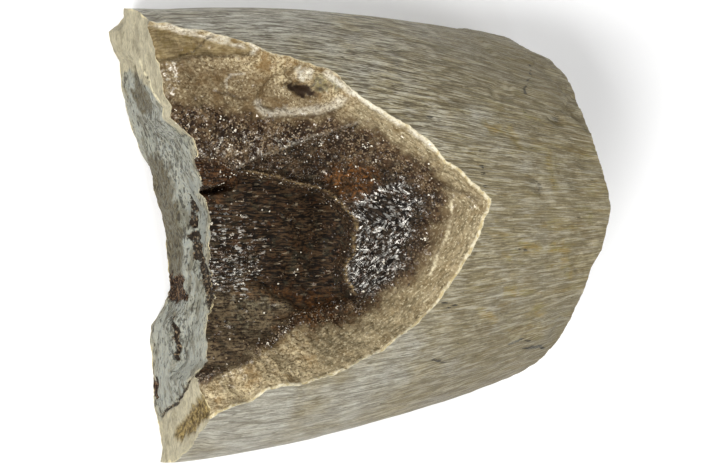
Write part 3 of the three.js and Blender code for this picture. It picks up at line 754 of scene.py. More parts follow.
def underside_at(x, y):
    """Height of the split underside, which lies at 0 on its two flat walls."""
    _, centre, _ = section_at(x)
    in_from_wall = TROUGH_HALF_WIDTH - np.abs(y - centre + lumps(x, y, 9, 7))
    in_from_end = TROUGH_END - x + 2 * lumps(y, x, 8, 11)
    deep = smooth(np.minimum(in_from_wall, in_from_end), 0, TROUGH_BANK)
    trough = deep * (TROUGH_DEPTH + 0.5 * lumps(x, y, 4.7, 13) + 0.35 * crumple(x, y, 3.0, 91, 3))
    pits = 0.5 * smooth(crumple(x / 1.6, y, 4.2, 92, 3), 0.35, 1.3)
    return trough + pits


def wall_relief(x, girth, y, z, top):
    """How far the wall is worn in at x and girth, and the depth of its fine grooves, 0 to 1."""
    lay = lay_of(x, girth)
    worn = 0.12 * lumps(y + z, x / 6, 5.3, 1) + 0.06 * crumple(x / 3, lay, 5.0, 103, 2)
    worn += 0.035 * waves(x / 20, lay, 1.6, 102)
    rough_end = smooth(x, 8, 24)
    bend = lay + 0.25 * waves(x / 4, lay / 2, 2.0, 108)
    bend += rough_end * 0.35 * waves(x / 1.5, lay, 1.8, 109)
    grooves = np.zeros_like(x)
    for spacing, seed in ((0.62, 105), (0.95, 106), (1.6, 110)):
        gap = 1 - smooth(np.abs(waves(x / 9, bend, spacing, seed)), 0.0, 0.3)
        grooves = np.maximum(grooves, gap * smooth(waves(x / 3.5, lay, 1.3, seed + 10), -0.15, 0.45))
    grooves *= 1 - 0.6 * rough_end * smooth(waves(x, lay, 4.2, 115), 0.0, 0.4)
    worn += 0.05 * grooves
    worn += rough_end * 0.13 * smooth(waves(x / 2.2, lay, 2.6, 104), 0.2, 0.6)
    worn += rough_end * 0.07 * crumple(x / 1.6, lay, 1.5, 107, 2)
    for cx, cy, radius, depth in CHIPS:
        worn += top * depth * smooth(1 - np.hypot(x - cx, y - cy) / radius, 0, 0.6)
    wx, wy = drift(x, y)
    for outline, depth, bank in FLAKES:
        worn += top * depth * smooth(to_edge(outline, wx, wy)[0], -bank / 2, bank / 2)
    for points, half_width in GROOVES:
        worn += top * half_width * streak((points, half_width * 0.5), wx, wy, 0.45)
    return worn, grooves


# ---- Meshes ----
def grid_faces(rows, columns, wrap=False):
    """Four-cornered faces of a grid whose corners are numbered row by row."""
    last = columns if wrap else columns - 1
    r, c = np.meshgrid(np.arange(rows - 1), np.arange(last), indexing="ij")
    n = (c + 1) % columns
    faces = np.stack([r * columns + c, r * columns + n, (r + 1) * columns + n, (r + 1) * columns + c])
    return faces.reshape(4, -1).T.tolist()


def closed_body(name, corners, faces, surface):
    """A closed mesh object, faces outwards, whose faces all belong to one of the stone's surfaces."""
    mesh = bpy.data.meshes.new(name)
    mesh.from_pydata(corners.tolist(), [], faces)
    for _ in range(SURFACES):
        mesh.materials.append(None)
    mesh.polygons.foreach_set("material_index", [surface] * len(mesh.polygons))
    work = bmesh.new()
    work.from_mesh(mesh)
    bmesh.ops.recalc_face_normals(work, faces=work.faces)
    work.to_mesh(mesh)
    work.free()
    body = bpy.data.objects.new(name, mesh)
    bpy.context.scene.collection.objects.link(body)
    return body


def shaft_blank():
    """The whole shaft before it broke, and its wall's fine wear."""
    girths = np.arange(0.0, WALL_GIRTHS[-1], ACROSS_STEP)
    belly = np.linspace(math.pi + BELLY_BELOW, 2 * math.pi - BELLY_BELOW, BELLY_LINES)
    turns = np.append(np.interp(girths, WALL_GIRTHS, WALL_TURNS), belly)
    girths = np.append(girths, WALL_GIRTHS[-1] + BELLY_STEP * np.arange(1, BELLY_LINES + 1))
    stations = np.append(
        np.arange(SHAFT_FROM, TIP_FROM, ALONG_STEP), np.arange(TIP_FROM, SHAFT_TO + 0.01, TIP_STEP)
    )
    x, turn = np.meshgrid(stations, turns, indexing="ij")
    girth = np.broadcast_to(girths, x.shape)
    across, up = np.cos(turn), np.sin(turn)
    half, centre, crest = section_at(x)
    y = centre + half * np.sign(across) * np.abs(across) ** (2 / SECTION_POWER)
    z = WIDEST_LEVEL + up * np.where(up > 0, crest, BELLY_DEPTH)
    worn = wall_relief(x, girth, y, z, up >= 0)[0]
    corners = np.stack([x, y - across * worn, z - up * worn], axis=2).reshape(-1, 3)
    rows, columns = x.shape
    faces = grid_faces(rows, columns, wrap=True)
    faces.append(list(range(columns)))
    faces.append(list(range(rows * columns - 1, (rows - 1) * columns - 1, -1)))
    return closed_body("shaft_blank", corners, faces, WALL)


def cutting_block(name, u_range, v_range, step, far, surface, height, place):
    """A block whose near face is height(u, v) and whose far face lies at far; place turns it."""
    u, v = (np.arange(low, high + step, step) for low, high in (u_range, v_range))
    u, v = np.meshgrid(u, v, indexing="ij")
    rows, columns = u.shape
    inner = np.zeros_like(u)
    inner[1:-1, 1:-1] = STREWN * step
    index_u, index_v = np.indices(u.shape)
    u = u + inner * (2 * chance(index_u, index_v, 3) - 1)
    v = v + inner * (2 * chance(index_u, index_v, 4) - 1)
    near = np.stack([u, v, height(u, v)], axis=2).reshape(-1, 3)
    number = np.arange(rows * columns).reshape(rows, columns)
    ring = np.concatenate([number[0, :-1], number[:-1, -1], number[-1, :0:-1], number[:0:-1, 0]])
    cap = near[ring].copy()
    cap[:, 2] = far
    first = rows * columns
    faces = grid_faces(rows, columns)
    for k in range(len(ring)):
        n = (k + 1) % len(ring)
        faces.append([int(ring[k]), int(ring[n]), first + n, first + k])
    faces.append([first + k for k in range(len(ring))])
    corners = np.concatenate([near, cap])
    return closed_body(name, corners[:, place], faces, surface)


def triangles_of(mesh):
    """The mesh as triangles; a face whose diagonal would double an edge is fanned from its middle."""
    fanned = set()
    for _ in range(6):
        work = bmesh.new()
        work.from_mesh(mesh)
        work.faces.ensure_lookup_table()
        bmesh.ops.poke(work, faces=[work.faces[k] for k in fanned])
        bmesh.ops.triangulate(work, faces=work.faces)
        doubled = [set(v.index for v in e.verts) for e in work.edges if len(e.link_faces) != 2]
        if not doubled:
            return work
        work.free()
        for polygon in mesh.polygons:
            if len(polygon.vertices) > 3:
                corners = set(polygon.vertices)
                if any(ends <= corners for ends in doubled):
                    fanned.add(polygon.index)
    raise RuntimeError("the carved stone can't be made of triangles")


def tidy_triangles(mesh):
    """The mesh's triangles less the slivers, as long as it stays closed."""
    for least in SLIVERS:
        work = triangles_of(mesh)
        bmesh.ops.dissolve_degenerate(work, dist=least, edges=work.edges)
        if all(len(edge.link_faces) == 2 for edge in work.edges):
            return work
        work.free()
    return triangles_of(mesh)


def as_plain_mesh(body):
    """A mesh of the body as its modifiers leave it."""
    bpy.context.view_layer.update()
    ready = body.evaluated_get(bpy.context.evaluated_depsgraph_get())
    return bpy.data.meshes.new_from_object(ready)


def carve(stone, blocks):
    """The stone less all blocks, as a plain mesh of triangles."""
    for block in blocks:
        cut = stone.modifiers.new(block.name, "BOOLEAN")
        cut.operation, cut.solver, cut.material_mode = "DIFFERENCE", "MANIFOLD", "INDEX"
        cut.object = block
    mesh = as_plain_mesh(stone)
    for body in [stone, *blocks]:
        bpy.data.objects.remove(body)
    work = tidy_triangles(mesh)
    for edge in work.edges:
        sides = edge.link_faces
        edge.smooth = sides[0].material_index == sides[1].material_index
    for face in work.faces:
        face.smooth = True
    work.to_mesh(mesh)
    work.free()
    return mesh


def corners_of(mesh):
    """Every corner's place, one row each."""
    corners = np.empty(len(mesh.vertices) * 3)
    mesh.vertices.foreach_get("co", corners)
    return corners.reshape(-1, 3)


def gap_to(corners, marked):
    """Distance from every corner to the nearest marked one, as far as FARTHEST_GAP."""
    tree = KDTree(int(marked.sum()))
    for k, corner in enumerate(corners[marked]):
        tree.insert(corner, k)
    tree.balance()
    return np.minimum([tree.find(corner)[2] for corner in corners], FARTHEST_GAP)


def on_surface(mesh):
    """For each surface of the stone, which corners touch it."""
    mesh.calc_loop_triangles()
    count = len(mesh.loop_triangles)
    surface, loops = np.empty(count, np.int32), np.empty(count * 3, np.int32)
    mesh.loop_triangles.foreach_get("material_index", surface)
    mesh.loop_triangles.foreach_get("vertices", loops)
    touching = np.zeros((SURFACES, len(mesh.vertices)), bool)
    for kind in range(SURFACES):
        touching[kind, loops.reshape(-1, 3)[surface == kind].ravel()] = True
    return touching


def keep_number(mesh, name, values):
    mesh.attributes.new(name, "FLOAT", "POINT").data.foreach_set("value", values.astype(np.float32))


def keep_vector(mesh, name, values):
    layer = mesh.attributes.new(name, "FLOAT_VECTOR", "POINT")
    layer.data.foreach_set("vector", values.astype(np.float32).ravel())


def note_grounds(mesh):
    """Writes on the mesh what its finishes need to know at each corner."""
    corners = corners_of(mesh)
    x, y, z = corners.T
    touching = on_surface(mesh)
    rim = touching[WALL] & touching[BREAK]
    edge = touching.sum(axis=0) > 1
    keep_number(mesh, "rim_gap", gap_to(corners, rim))
    keep_number(mesh, "edge_gap", gap_to(corners, edge & ~rim))
    girth = girth_at(x, y, z)
    keep_vector(mesh, "strand", np.column_stack([x, lay_of(x, girth), 0 * x]))
    keep_number(mesh, "groove", wall_relief(x, girth, y, z, z > WIDEST_LEVEL)[1])
    wx, wy = drift(x, y)
    inset = to_edge(RIM, wx, wy)[0]
    keep_number(mesh, "inset", inset)
    tone = grounds(wx, wy, inset)
    for name in TONES:
        keep_number(mesh, name, tone[name])
    lift = relief(wx, wy, inset, bpy.context.scene.fossil_bone)
    keep_number(mesh, "lift", smooth(lift, -0.45, 0.45) * touching[BREAK])
    for name, share in end_grounds(y, z).items():
        keep_number(mesh, name, share * touching[WIDE_FACE])
    for name, share in wall_marks(x, y).items():
        keep_number(mesh, name, share * touching[WALL] * (z > WIDEST_LEVEL))
    worn_smooth = np.maximum(0.8 * tone["hollow"] * (1 - tone["grit"]), tone["dish"])
    crystals = tone["marrow"] * (1 - worn_smooth)
    sharp_ground(mesh, crystals + tone["glitter"] + tone["chalk"] + tone["ledge"])


def sharp_ground(mesh, share):
    """Leaves flat the triangles of the break whose three corners average more than SHARP_SHARE."""
    count = len(mesh.polygons)
    surface, starts = np.empty(count, np.int32), np.empty(count, np.int32)
    corners = np.empty(len(mesh.loops), np.int32)
    mesh.polygons.foreach_get("material_index", surface)
    mesh.polygons.foreach_get("loop_start", starts)
    mesh.loops.foreach_get("vertex_index", corners)
    rough = np.add.reduceat(share[corners], starts) > SHARP_SHARE * 3
    mesh.polygons.foreach_set("use_smooth", ~(rough & (surface == BREAK)))


def to_row_frame(mesh):
    """Turns the drawing's millimetres into the solid's metres."""
    corners = (corners_of(mesh) + np.array(DRAWING_SHIFT)) * MM
    corners = np.clip(corners, np.array(cad_low), np.array(cad_high))
    mesh.vertices.foreach_set("co", corners.ravel())
    mesh.update()


# ---- Finishes ----
def paint(red, green, blue):
    """A screen colour, 0 to 255, as the light values that shaders take."""
    shares = [c / 255 for c in (red, green, blue)]
    return tuple(c / 12.92 if c <= 0.04045 else ((c + 0.055) / 1.055) ** 2.4 for c in shares)


class Wire:
    """A shader socket that sums can be written with."""

    def __init__(self, finish, socket):
        self.finish, self.socket = finish, socket

    def _sum(self, operation, first, second):
        return self.finish.node("ShaderNodeMath", {"operation": operation}, {0: first, 1: second})

    def __add__(self, other):
        return self._sum("ADD", self, other)

    def __sub__(self, other):
        return self._sum("SUBTRACT", self, other)

    def __rsub__(self, other):
        return self._sum("SUBTRACT", other, self)

    def __mul__(self, other):
        return self._sum("MULTIPLY", self, other)

    __radd__, __rmul__ = __add__, __mul__

    def most(self, other):
        """The larger of two."""
        return self._sum("MAXIMUM", self, other)

    def size(self):
        """The number without its sign."""
        return self._sum("ABSOLUTE", self, 0.0)


class Finish:
    """A material being built."""

    def __init__(self, name):
        self.material = bpy.data.materials.new(name)
        self.material.use_nodes = True
        self.tree = self.material.node_tree
        self.tree.nodes.clear()
        self.output = self.tree.nodes.new("ShaderNodeOutputMaterial")

    def node(self, kind, settings=None, sockets=None, out=0):
        """Adds a node, with its settings first and then the values or wires of its sockets."""
        made = self.tree.nodes.new(kind)
        for key, value in (settings or {}).items():
            setattr(made, key, value)
        for key, value in (sockets or {}).items():
            if isinstance(value, Wire):
                self.tree.links.new(value.socket, made.inputs[key])
            else:
                made.inputs[key].default_value = value
        return Wire(self, made.outputs[out])

    def mark(self, name):
        """A number written on the mesh."""
        return self.node("ShaderNodeAttribute", {"attribute_name": name}, out="Fac")

    def strand(self):
        """Where the surface is along and across the wall's strands, in millimetres."""
        return self.node("ShaderNodeAttribute", {"attribute_name": "strand"}, out="Vector")

    def place(self):
        """Where the surface is, in millimetres."""
        where = self.node("ShaderNodeTexCoord", out="Object")
        return self.scaled(where, (1 / MM, 1 / MM, 1 / MM))

    def vectors(self, operation, first, second, out="Vector"):
        return self.node("ShaderNodeVectorMath", {"operation": operation}, {0: first, 1: second}, out)

    def scaled(self, vector, by):
        return self.vectors("MULTIPLY", vector, by)

    def axis(self, vector, number):
        """One of a vector's three numbers."""
        return self.node("ShaderNodeSeparateXYZ", None, {0: vector}, number)

    def channel(self, colour, number):
        """One of a colour's three numbers."""
        return self.node("ShaderNodeSeparateColor", None, {0: colour}, number)

    def cloud(self, vector, spacing, detail=2.0, roughness=0.5, warp=0.0):
        """Soft noise from 0 to 1, with lumps of about the given spacing."""
        sockets = {
            "Vector": vector, "Scale": 1 / spacing, "Detail": detail, "Roughness": roughness,
            "Distortion": warp,
        }
        return self.node("ShaderNodeTexNoise", {"noise_dimensions": "3D"}, sockets)

    def pebbles(self, vector, spacing):
        """Cells side by side, each of its own random colour."""
        sockets = {"Vector": vector, "Scale": 1 / spacing}
        return self.node("ShaderNodeTexVoronoi", {"feature": "F1"}, sockets, "Color")

    def ease(self, value, low, high, start=0.0, end=1.0):
        """start below low and end above high, easing between."""
        sockets = {"Value": value, "From Min": low, "From Max": high, "To Min": start, "To Max": end}
        return self.node("ShaderNodeMapRange", {"interpolation_type": "SMOOTHSTEP"}, sockets)

    def off_on(self, mark, off, on):
        """One number where a mark is 0 and another where it is 1."""
        return self.ease(mark, 0.0, 1.0, off, on)

    def thread(self, value, width):
        """1 along the thin winding lines where value is a half, 0 beside them."""
        return self.ease((value - 0.5).size(), 0.0, width, 1.0, 0.0)

    def crystals(self, vector, spacing):
        """Height of flat crystal faces, each tilted its own way, and a random number for each."""
        cells = self.pebbles(vector, spacing)
        middle = Wire(self, cells.socket.node.outputs["Position"])
        across = self.vectors("SUBTRACT", vector, middle)
        lean = self.vectors("SUBTRACT", cells, (0.5,) * 3)
        return self.vectors("DOT_PRODUCT", across, lean, "Value"), self.channel(cells, 0)

    def mix(self, share, first, second):
        """A colour between two others."""
        ends = [c if isinstance(c, Wire) else (*c, 1.0) for c in (first, second)]
        return self.node("ShaderNodeMix", {"data_type": "RGBA"}, {0: share, 6: ends[0], 7: ends[1]}, 2)

    def mean(self, share, first, second):
        """A number between two others."""
        return self.channel(self.mix(share, first, second), 0)

    def over(self, ground, *layers):
        """Lays tints over a ground in turn, each given as its share and its colour."""
        for share, tint in layers:
            ground = self.mix(share, ground, tint)
        return ground

    def bump(self, height, depth_mm):
        """A surface that stands up by its height, in shares of the depth."""
        return self.node("ShaderNodeBump", None, {"Distance": depth_mm * MM, "Height": height})

    def coat(self, colour, roughness, normal, ior=1.5, shine=0.5, tint=(1.0, 1.0, 1.0)):
        """One principled skin."""
        sockets = {"Base Color": colour, "Roughness": roughness, "Normal": normal, "IOR": ior}
        sockets.update({"Specular IOR Level": shine, "Specular Tint": (*tint, 1.0)})
        return self.node("ShaderNodeBsdfPrincipled", None, sockets)

    def between(self, share, first, second):
        """One skin over part of another."""
        return self.node("ShaderNodeMixShader", None, {0: share, 1: first, 2: second})

    def done(self, skin):
        self.tree.links.new(skin.socket, self.output.inputs["Surface"])
        return self.material


def weathered_wall(settings):
    """Grey-tan outer bone, finely streaked along the shaft."""
    f = Finish("weathered_wall")
    strand, place = f.strand(), f.place()
    drawn, shorter = f.scaled(strand, (0.09, 1.0, 1.0)), f.scaled(strand, (0.3, 1.0, 1.0))
    longer, middling = f.scaled(strand, (0.03, 1.0, 1.0)), f.scaled(strand, (0.035, 1.0, 1.0))
    fine = f.cloud(shorter, 0.17, 3.0, 0.65)
    bands = f.cloud(f.scaled(strand, (0.07, 1.0, 1.0)), 2.2, 4.0, 0.7, 0.3)
    broad = f.cloud(place, 12.0, 4.0, 0.62)
    patchy = f.cloud(place, 1.6, 5.0, 0.7, 0.4)
    speckle = f.cloud(f.scaled(place, (0.6, 1.0, 1.0)), 0.3, 2.0, 0.6)
    # The wall is calmer towards one side and browner and rougher towards its narrow tip.
    along, across = f.axis(place, 0), f.axis(place, 1)
    tip = f.ease(along, -32.0, 30.0)
    calm = f.ease(across, -22.0, 22.0, 0.44, 0.06).most(f.ease(tip, 0.4, 1.0, 0.0, 0.5))
    warm = f.ease(broad + tip * 0.24, 0.44, 0.72)
    # Streaks, which are rubbed off in places.
    body = f.mean(
        f.ease(across, -24.0, 4.0), f.cloud(longer, 0.24, 4.0, 0.7), f.cloud(middling, 0.2, 3.0, 0.65)
    )
    rubbed = f.cloud(f.scaled(place, (0.7, 1.0, 1.0)), 5.0, 3.0, 0.6, 0.6)
    worn_off = f.ease(tip, 0.4, 0.9, 0.25, 1.0) * f.ease(rubbed, 0.46, 0.58)
    grain = f.mean(worn_off * 0.8, body, patchy)
    light = f.mix(warm, tuple(settings.wall_light), paint(171, 161, 129))
    dark = f.mix(warm, tuple(settings.wall_dark), paint(96, 86, 61))
    smear = f.mix(f.ease(patchy, 0.42, 0.58), paint(108, 97, 70), paint(144, 138, 116))
    # Ochre, moss-coloured and murky stains.
    blotch = f.cloud(f.scaled(strand, (0.4, 1, 1)), 3.4, 4.0, 0.68, 0.5)
    ochre = f.ease(blotch, 0.52, 0.66) * f.ease(tip, 0.3, 1.0, 0.1, 0.4)
    ochre = ochre.most(f.mark("ochre") * f.ease(fine + body, 0.75, 1.15, 0.95, 0.5))
    tinge = f.mix(f.ease(patchy, 0.4, 0.6), paint(134, 112, 58), paint(122, 112, 62))
    moss = f.ease(f.cloud(place, 2.6, 4.0, 0.7, 0.5), 0.6, 0.7) * f.ease(tip, 0.45, 1.0, 0.0, 0.5)
    murk = f.ease(f.cloud(place, 3.4, 4.0, 0.7, 0.6), 0.54, 0.66) * f.ease(tip, 0.35, 0.8, 0.1, 0.5)
    stains = f.ease(f.cloud(shorter, 0.8, 4.0, 0.7), 0.6, 0.7)
    bare = f.mix(f.ease(patchy, 0.38, 0.62), paint(104, 92, 66), paint(148, 138, 108))
    # Dark gaps and pale threads between the strands, dark specks and dashes.
    breaks = f.cloud(shorter, 1.2, 3.0, 0.6)
    gaps = f.thread(f.cloud(drawn, 0.62, 1.0, 0.5), 0.1) * f.ease(breaks, 0.38, 0.54)
    gaps = gaps.most(f.thread(f.cloud(f.scaled(strand, (0.14, 1.0, 1.4)), 1.3, 1.0, 0.5), 0.05))
    lines = gaps * f.ease(calm, 0.0, 0.55, 0.95, 0.55)
    lines = lines.most(f.mark("groove") * f.ease(fine, 0.3, 0.6, 0.45, 0.15))
    pale = f.thread(f.cloud(f.scaled(drawn, (1.0, 1.0, 1.3)), 0.58, 1.0, 0.5), 0.1)
    pale = pale * f.ease(breaks, 0.42, 0.58, 1.0, 0.15)
    specks = f.ease(f.cloud(f.scaled(strand, (0.35, 1, 1)), 0.5, 2.0, 0.5), 0.69, 0.75)
    dash = f.ease(f.mark("dash") + (fine - 0.5) * 1.4 + (body - 0.5) * 0.8, 0.34, 0.52)
    # Worn edges, where the paler inside shows.
    wobble = f.cloud(place, 0.9, 3.0, 0.6)
    worn = f.ease(f.mark("rim_gap") + wobble * 0.5, 0.2, 0.42, 0.9, 0.0)
    worn = worn.most(f.ease(f.mark("edge_gap") + wobble * 2.0, 0.7, 1.1, 0.5, 0.0))
    colour = f.over(
        f.mix(f.ease(grain * 0.6 + fine * 0.4, 0.4, 0.6), dark, light),
        (calm, f.mix(warm, paint(149, 146, 133), paint(131, 121, 95))),
        (f.ease(bands, 0.47, 0.66) * 0.28, paint(112, 102, 80)),
        (worn_off * 0.45, smear),
        (f.ease(speckle, 0.58, 0.7) * f.ease(tip, 0.4, 0.9, 0.1, 0.5), paint(178, 169, 140)),
        (f.ease(speckle, 0.42, 0.3) * f.ease(tip, 0.4, 0.9, 0.1, 0.45), paint(88, 77, 53)),
        (f.ease(tip, 0.5, 0.9, 0.0, 0.28), paint(92, 83, 61)),
        (ochre, tinge),
        (moss, paint(110, 106, 62)),
        (murk, paint(108, 94, 66)),
        (f.mark("bare") * 0.7, bare),
        (lines, paint(78, 69, 51)),
        (stains * 0.36, paint(88, 77, 56)),
        ((specks * 0.8).most(dash * 0.95), paint(44, 40, 33)),
        (pale * f.ease(calm, 0.0, 0.55, 0.5, 0.25), paint(204, 200, 182)),
        (worn, paint(212, 203, 172)),
    )
    height = grain * 0.5 + bands * 0.4 + fine * 0.3 - gaps * 0.35 + pale * 0.2 + patchy * tip * 0.5
    roughness = f.ease(fine + broad * 0.4, 0.4, 0.9, 0.4, 0.6)
    return f.done(f.coat(colour, roughness, f.bump(height, settings.streak_depth / MM), 1.5, 0.15))


class BreakFinish(Finish):
    """The slanting break's material, with the noises and marks that its grounds share."""

    def __init__(self, name):
        super().__init__(name)
        place = self.place()
        self.inset, self.lift, self.plateau = (self.mark(mark) for mark in ("inset", "lift", "plateau"))
        self.hollow, self.glassy = self.mark("hollow"), self.mark("glassy")
        along, self.across = (self.axis(place, number) * 0.22 for number in (0, 1))
        self.ringed = self.node("ShaderNodeCombineXYZ", None, {0: self.inset, 1: along, 2: self.across})
        self.lie = self.scaled(place, (0.12, 1.0, 1.0))
        self.grain = self.cloud(self.scaled(place, (0.7, 1.0, 1.0)), 0.38, 3.0, 0.7)
        self.coarse = self.cloud(place, 2.6, 4.0, 0.65, 0.3)
        self.patchy = self.cloud(place, 1.1, 4.0, 0.7, 0.3)
        self.lump = self.cloud(place, 0.9, 3.0, 0.6, 0.3)
        self.fibre = self.cloud(self.lie, 0.34, 3.0, 0.65)
        self.rows = self.cloud(self.ringed, 0.32, 3.0, 0.65)
        self.tilt, self.own = self.crystals(place, 0.5)
        self.long_tilt, self.long_own = self.crystals(self.scaled(place, (0.27, 1.0, 1.0)), 0.27)
        self.ring_tilt, self.ring_own = self.crystals(self.scaled(self.ringed, (1.0, 1.7, 1.7)), 0.23)
        self.fine_tilt, self.fine_own = self.crystals(place, 0.27)


def cortex_colour(f, settings):
    """Tan cortex with its growth layers, browner inwards, the flake scar and the cream rim; its lower
    band is kept lighter as painted light, with painted shade in the low ground and painted glints in its
    flecks.
    """
    coarse, patchy, grain, plateau = f.coarse, f.patchy, f.grain, f.plateau
    texture = f.mean(plateau, f.rows * 0.65 + grain * 0.35, grain * 0.6 + patchy * 0.4)
    even = f.mix(f.ease(texture, 0.36, 0.62), paint(93, 82, 59), tuple(settings.cortex_tan))
    rough = f.mix(f.ease(texture, 0.41, 0.59), paint(112, 94, 64), paint(190, 174, 138))
    ledge = f.mark("ledge")
    layers = f.cloud(f.scaled(f.ringed, (1.0, 0.5, 0.5)), 0.75, 2.0, 0.5)
    # Rows of pale flecks along the growth layers, painted as glints.
    painted_glint_rows = f.cloud(f.scaled(f.ringed, (1.0, 2.6, 2.6)), 0.26, 1.0, 0.5)
    blots = f.ease(patchy * 0.6 + coarse * 0.4, 0.47, 0.57) * f.off_on(plateau, 0.08, 0.7)
    # Browner inwards from the rim, but less on the lower band: that band is left lighter as painted
    # light, since it faces the light.
    inner = f.ease(f.inset + coarse * 2.0, 2.6, 6.6) * f.ease(f.across, -3.0, -0.4, 0.3, 1.0)
    scar = f.over(
        f.mix(f.ease(f.cloud(f.lie, 0.4, 3.0, 0.6), 0.34, 0.64), paint(98, 82, 54), paint(140, 124, 90)),
        (f.ease(coarse, 0.46, 0.62) * 0.6, paint(104, 88, 50)),
        (f.ease(patchy, 0.56, 0.68) * 0.5, paint(96, 68, 36)),
    )
    rim = f.ease(f.mark("rim_gap") + coarse * 0.5 + plateau * 0.3, 0.5, 0.95, 1.0, 0.0)
    cream = f.mix(f.ease(patchy, 0.42, 0.58), tuple(settings.rim_cream), paint(182, 165, 122))
    return f.over(
        f.mix(plateau, even, rough),
        (ledge * f.ease(f.inset + coarse, 1.0, 5.0, 0.22, 0.04), paint(196, 182, 146)),
        (f.ease(layers, 0.45, 0.6) * (1 - plateau) * 0.25, paint(112, 94, 62)),
        (blots * f.off_on(ledge, 1.0, 0.35), paint(98, 74, 43)),
        (f.ease(grain, 0.44, 0.36) * plateau * 0.6, paint(66, 49, 29)),
        (f.ease(coarse, 0.5, 0.66) * f.off_on(plateau, 0.2, 0.5), paint(122, 95, 53)),
        # Inward browning, weaker on the lower band as painted light.
        (inner * f.off_on(plateau, 0.7, 0.62), paint(84, 68, 46)),
        # Painted shade in the low ground between the raised crystals.
        (f.ease(f.lift, 0.5, 0.2) * f.off_on(plateau, 0.25, 0.5), paint(82, 64, 40)),
        # Painted glints: pale flecks in rows along the growth layers, and pale specks on the plateau.
        (f.ease(painted_glint_rows, 0.59, 0.67) * (1 - plateau) * 0.5, paint(196, 185, 154)),
        (f.ease(f.fine_own, 0.84, 0.93) * plateau * f.ease(coarse, 0.4, 0.6, 0.5, 0.1),
         paint(190, 177, 145)),
        (f.ease(f.fine_own, 0.1, 0.04) * f.off_on(plateau, 0.2, 0.5), paint(66, 52, 34)),
        (f.mark("scar") * 0.9, scar),
        (f.mark("growth") * 0.95, paint(206, 194, 162)),
        (rim * f.off_on(plateau, 0.8, 0.5), cream),
    )


def marrow_colour(f, settings):
    """Brown marrow, from the granular shelf down to the dark floor and the glassy wall, with painted
    shade in its low ground, painted highlights on its raised crystals and painted glints in its pale
    specks.
    """
    coarse, patchy, grain, fibre = f.coarse, f.patchy, f.grain, f.fibre
    brown = f.over(
        f.mix(
            f.ease(f.own * 0.4 + grain * 0.6, 0.38, 0.64), paint(34, 23, 15), tuple(settings.marrow_brown)
        ),
        # Painted shade in the low ground, and painted highlights on the raised crystals.
        (f.ease(f.lift, 0.55, 0.2) * 0.75, paint(26, 17, 10)),
        (f.ease(f.lift, 0.62, 0.85) * 0.35, paint(124, 104, 76)),
        (f.ease(patchy, 0.48, 0.62) * 0.6, paint(60, 40, 22)),
        (f.ease(f.mark("marrow"), 0.98, 0.5) * 0.6, paint(84, 68, 45)),
        # Painted glints: pale specks on the marrow's crystals.
        (f.ease(f.fine_own, 0.9, 0.95) * 0.45, paint(158, 144, 118)),
    )
    deep = f.over(
        f.mix(f.ease(fibre, 0.43, 0.59), tuple(settings.marrow_dark), paint(64, 48, 31)),
        (f.ease(patchy, 0.53, 0.65) * 0.55, paint(70, 43, 22)),
        (f.ease(coarse, 0.54, 0.66) * 0.4, paint(66, 64, 50)),
        # Painted glints: sparse pale flecks on the hollow's floor.
        (f.ease(f.long_own, 0.93, 0.98) * f.ease(patchy, 0.4, 0.6, 0.1, 0.5), paint(140, 126, 102)),
        (f.ease(f.long_own, 0.34, 0.18) * 0.7, paint(10, 7, 4)),
    )
    glassy = f.mix(f.ease(f.rows, 0.44, 0.6), paint(12, 8, 5), paint(44, 35, 26))
    glassy = f.mix(f.ease(patchy, 0.58, 0.68) * 0.6, glassy, paint(70, 38, 20))
    ash = f.mix(f.ease(fibre * 0.5 + grain * 0.5, 0.42, 0.58), paint(58, 50, 36), paint(118, 112, 90))
    dish = f.mix(f.ease(grain * 0.5 + fibre * 0.5, 0.42, 0.56), paint(38, 27, 18), paint(112, 97, 73))
    rust = f.mix(f.ease(f.lump * 0.6 + grain * 0.4, 0.43, 0.6), paint(30, 18, 9), paint(114, 74, 36))
    chunk = f.mix(f.ease(fibre, 0.42, 0.6), paint(26, 15, 8), paint(84, 56, 32))
    lines = f.mark("brink") * f.ease(patchy, 0.35, 0.55, 0.25, 0.8)
    return f.over(
        brown,
        (f.mark("umber") * f.ease(coarse, 0.3, 0.52, 0.5, 0.95), deep),
        (f.hollow * 0.9, deep),
        (f.glassy, glassy),
        (f.mark("ashen") * f.ease(patchy, 0.42, 0.6, 0.0, 0.8), ash),
        (f.mark("dish") * f.ease(coarse, 0.38, 0.58, 0.75, 0.2), dish),
        (f.mark("rust") * f.ease(patchy, 0.4, 0.54, 0.12, 0.9), rust),
        (f.mark("chunk") * 0.8, chunk),
        (lines.most(f.mark("slab") * f.ease(grain, 0.45, 0.6, 0.1, 0.6)), paint(166, 142, 100)),
    )


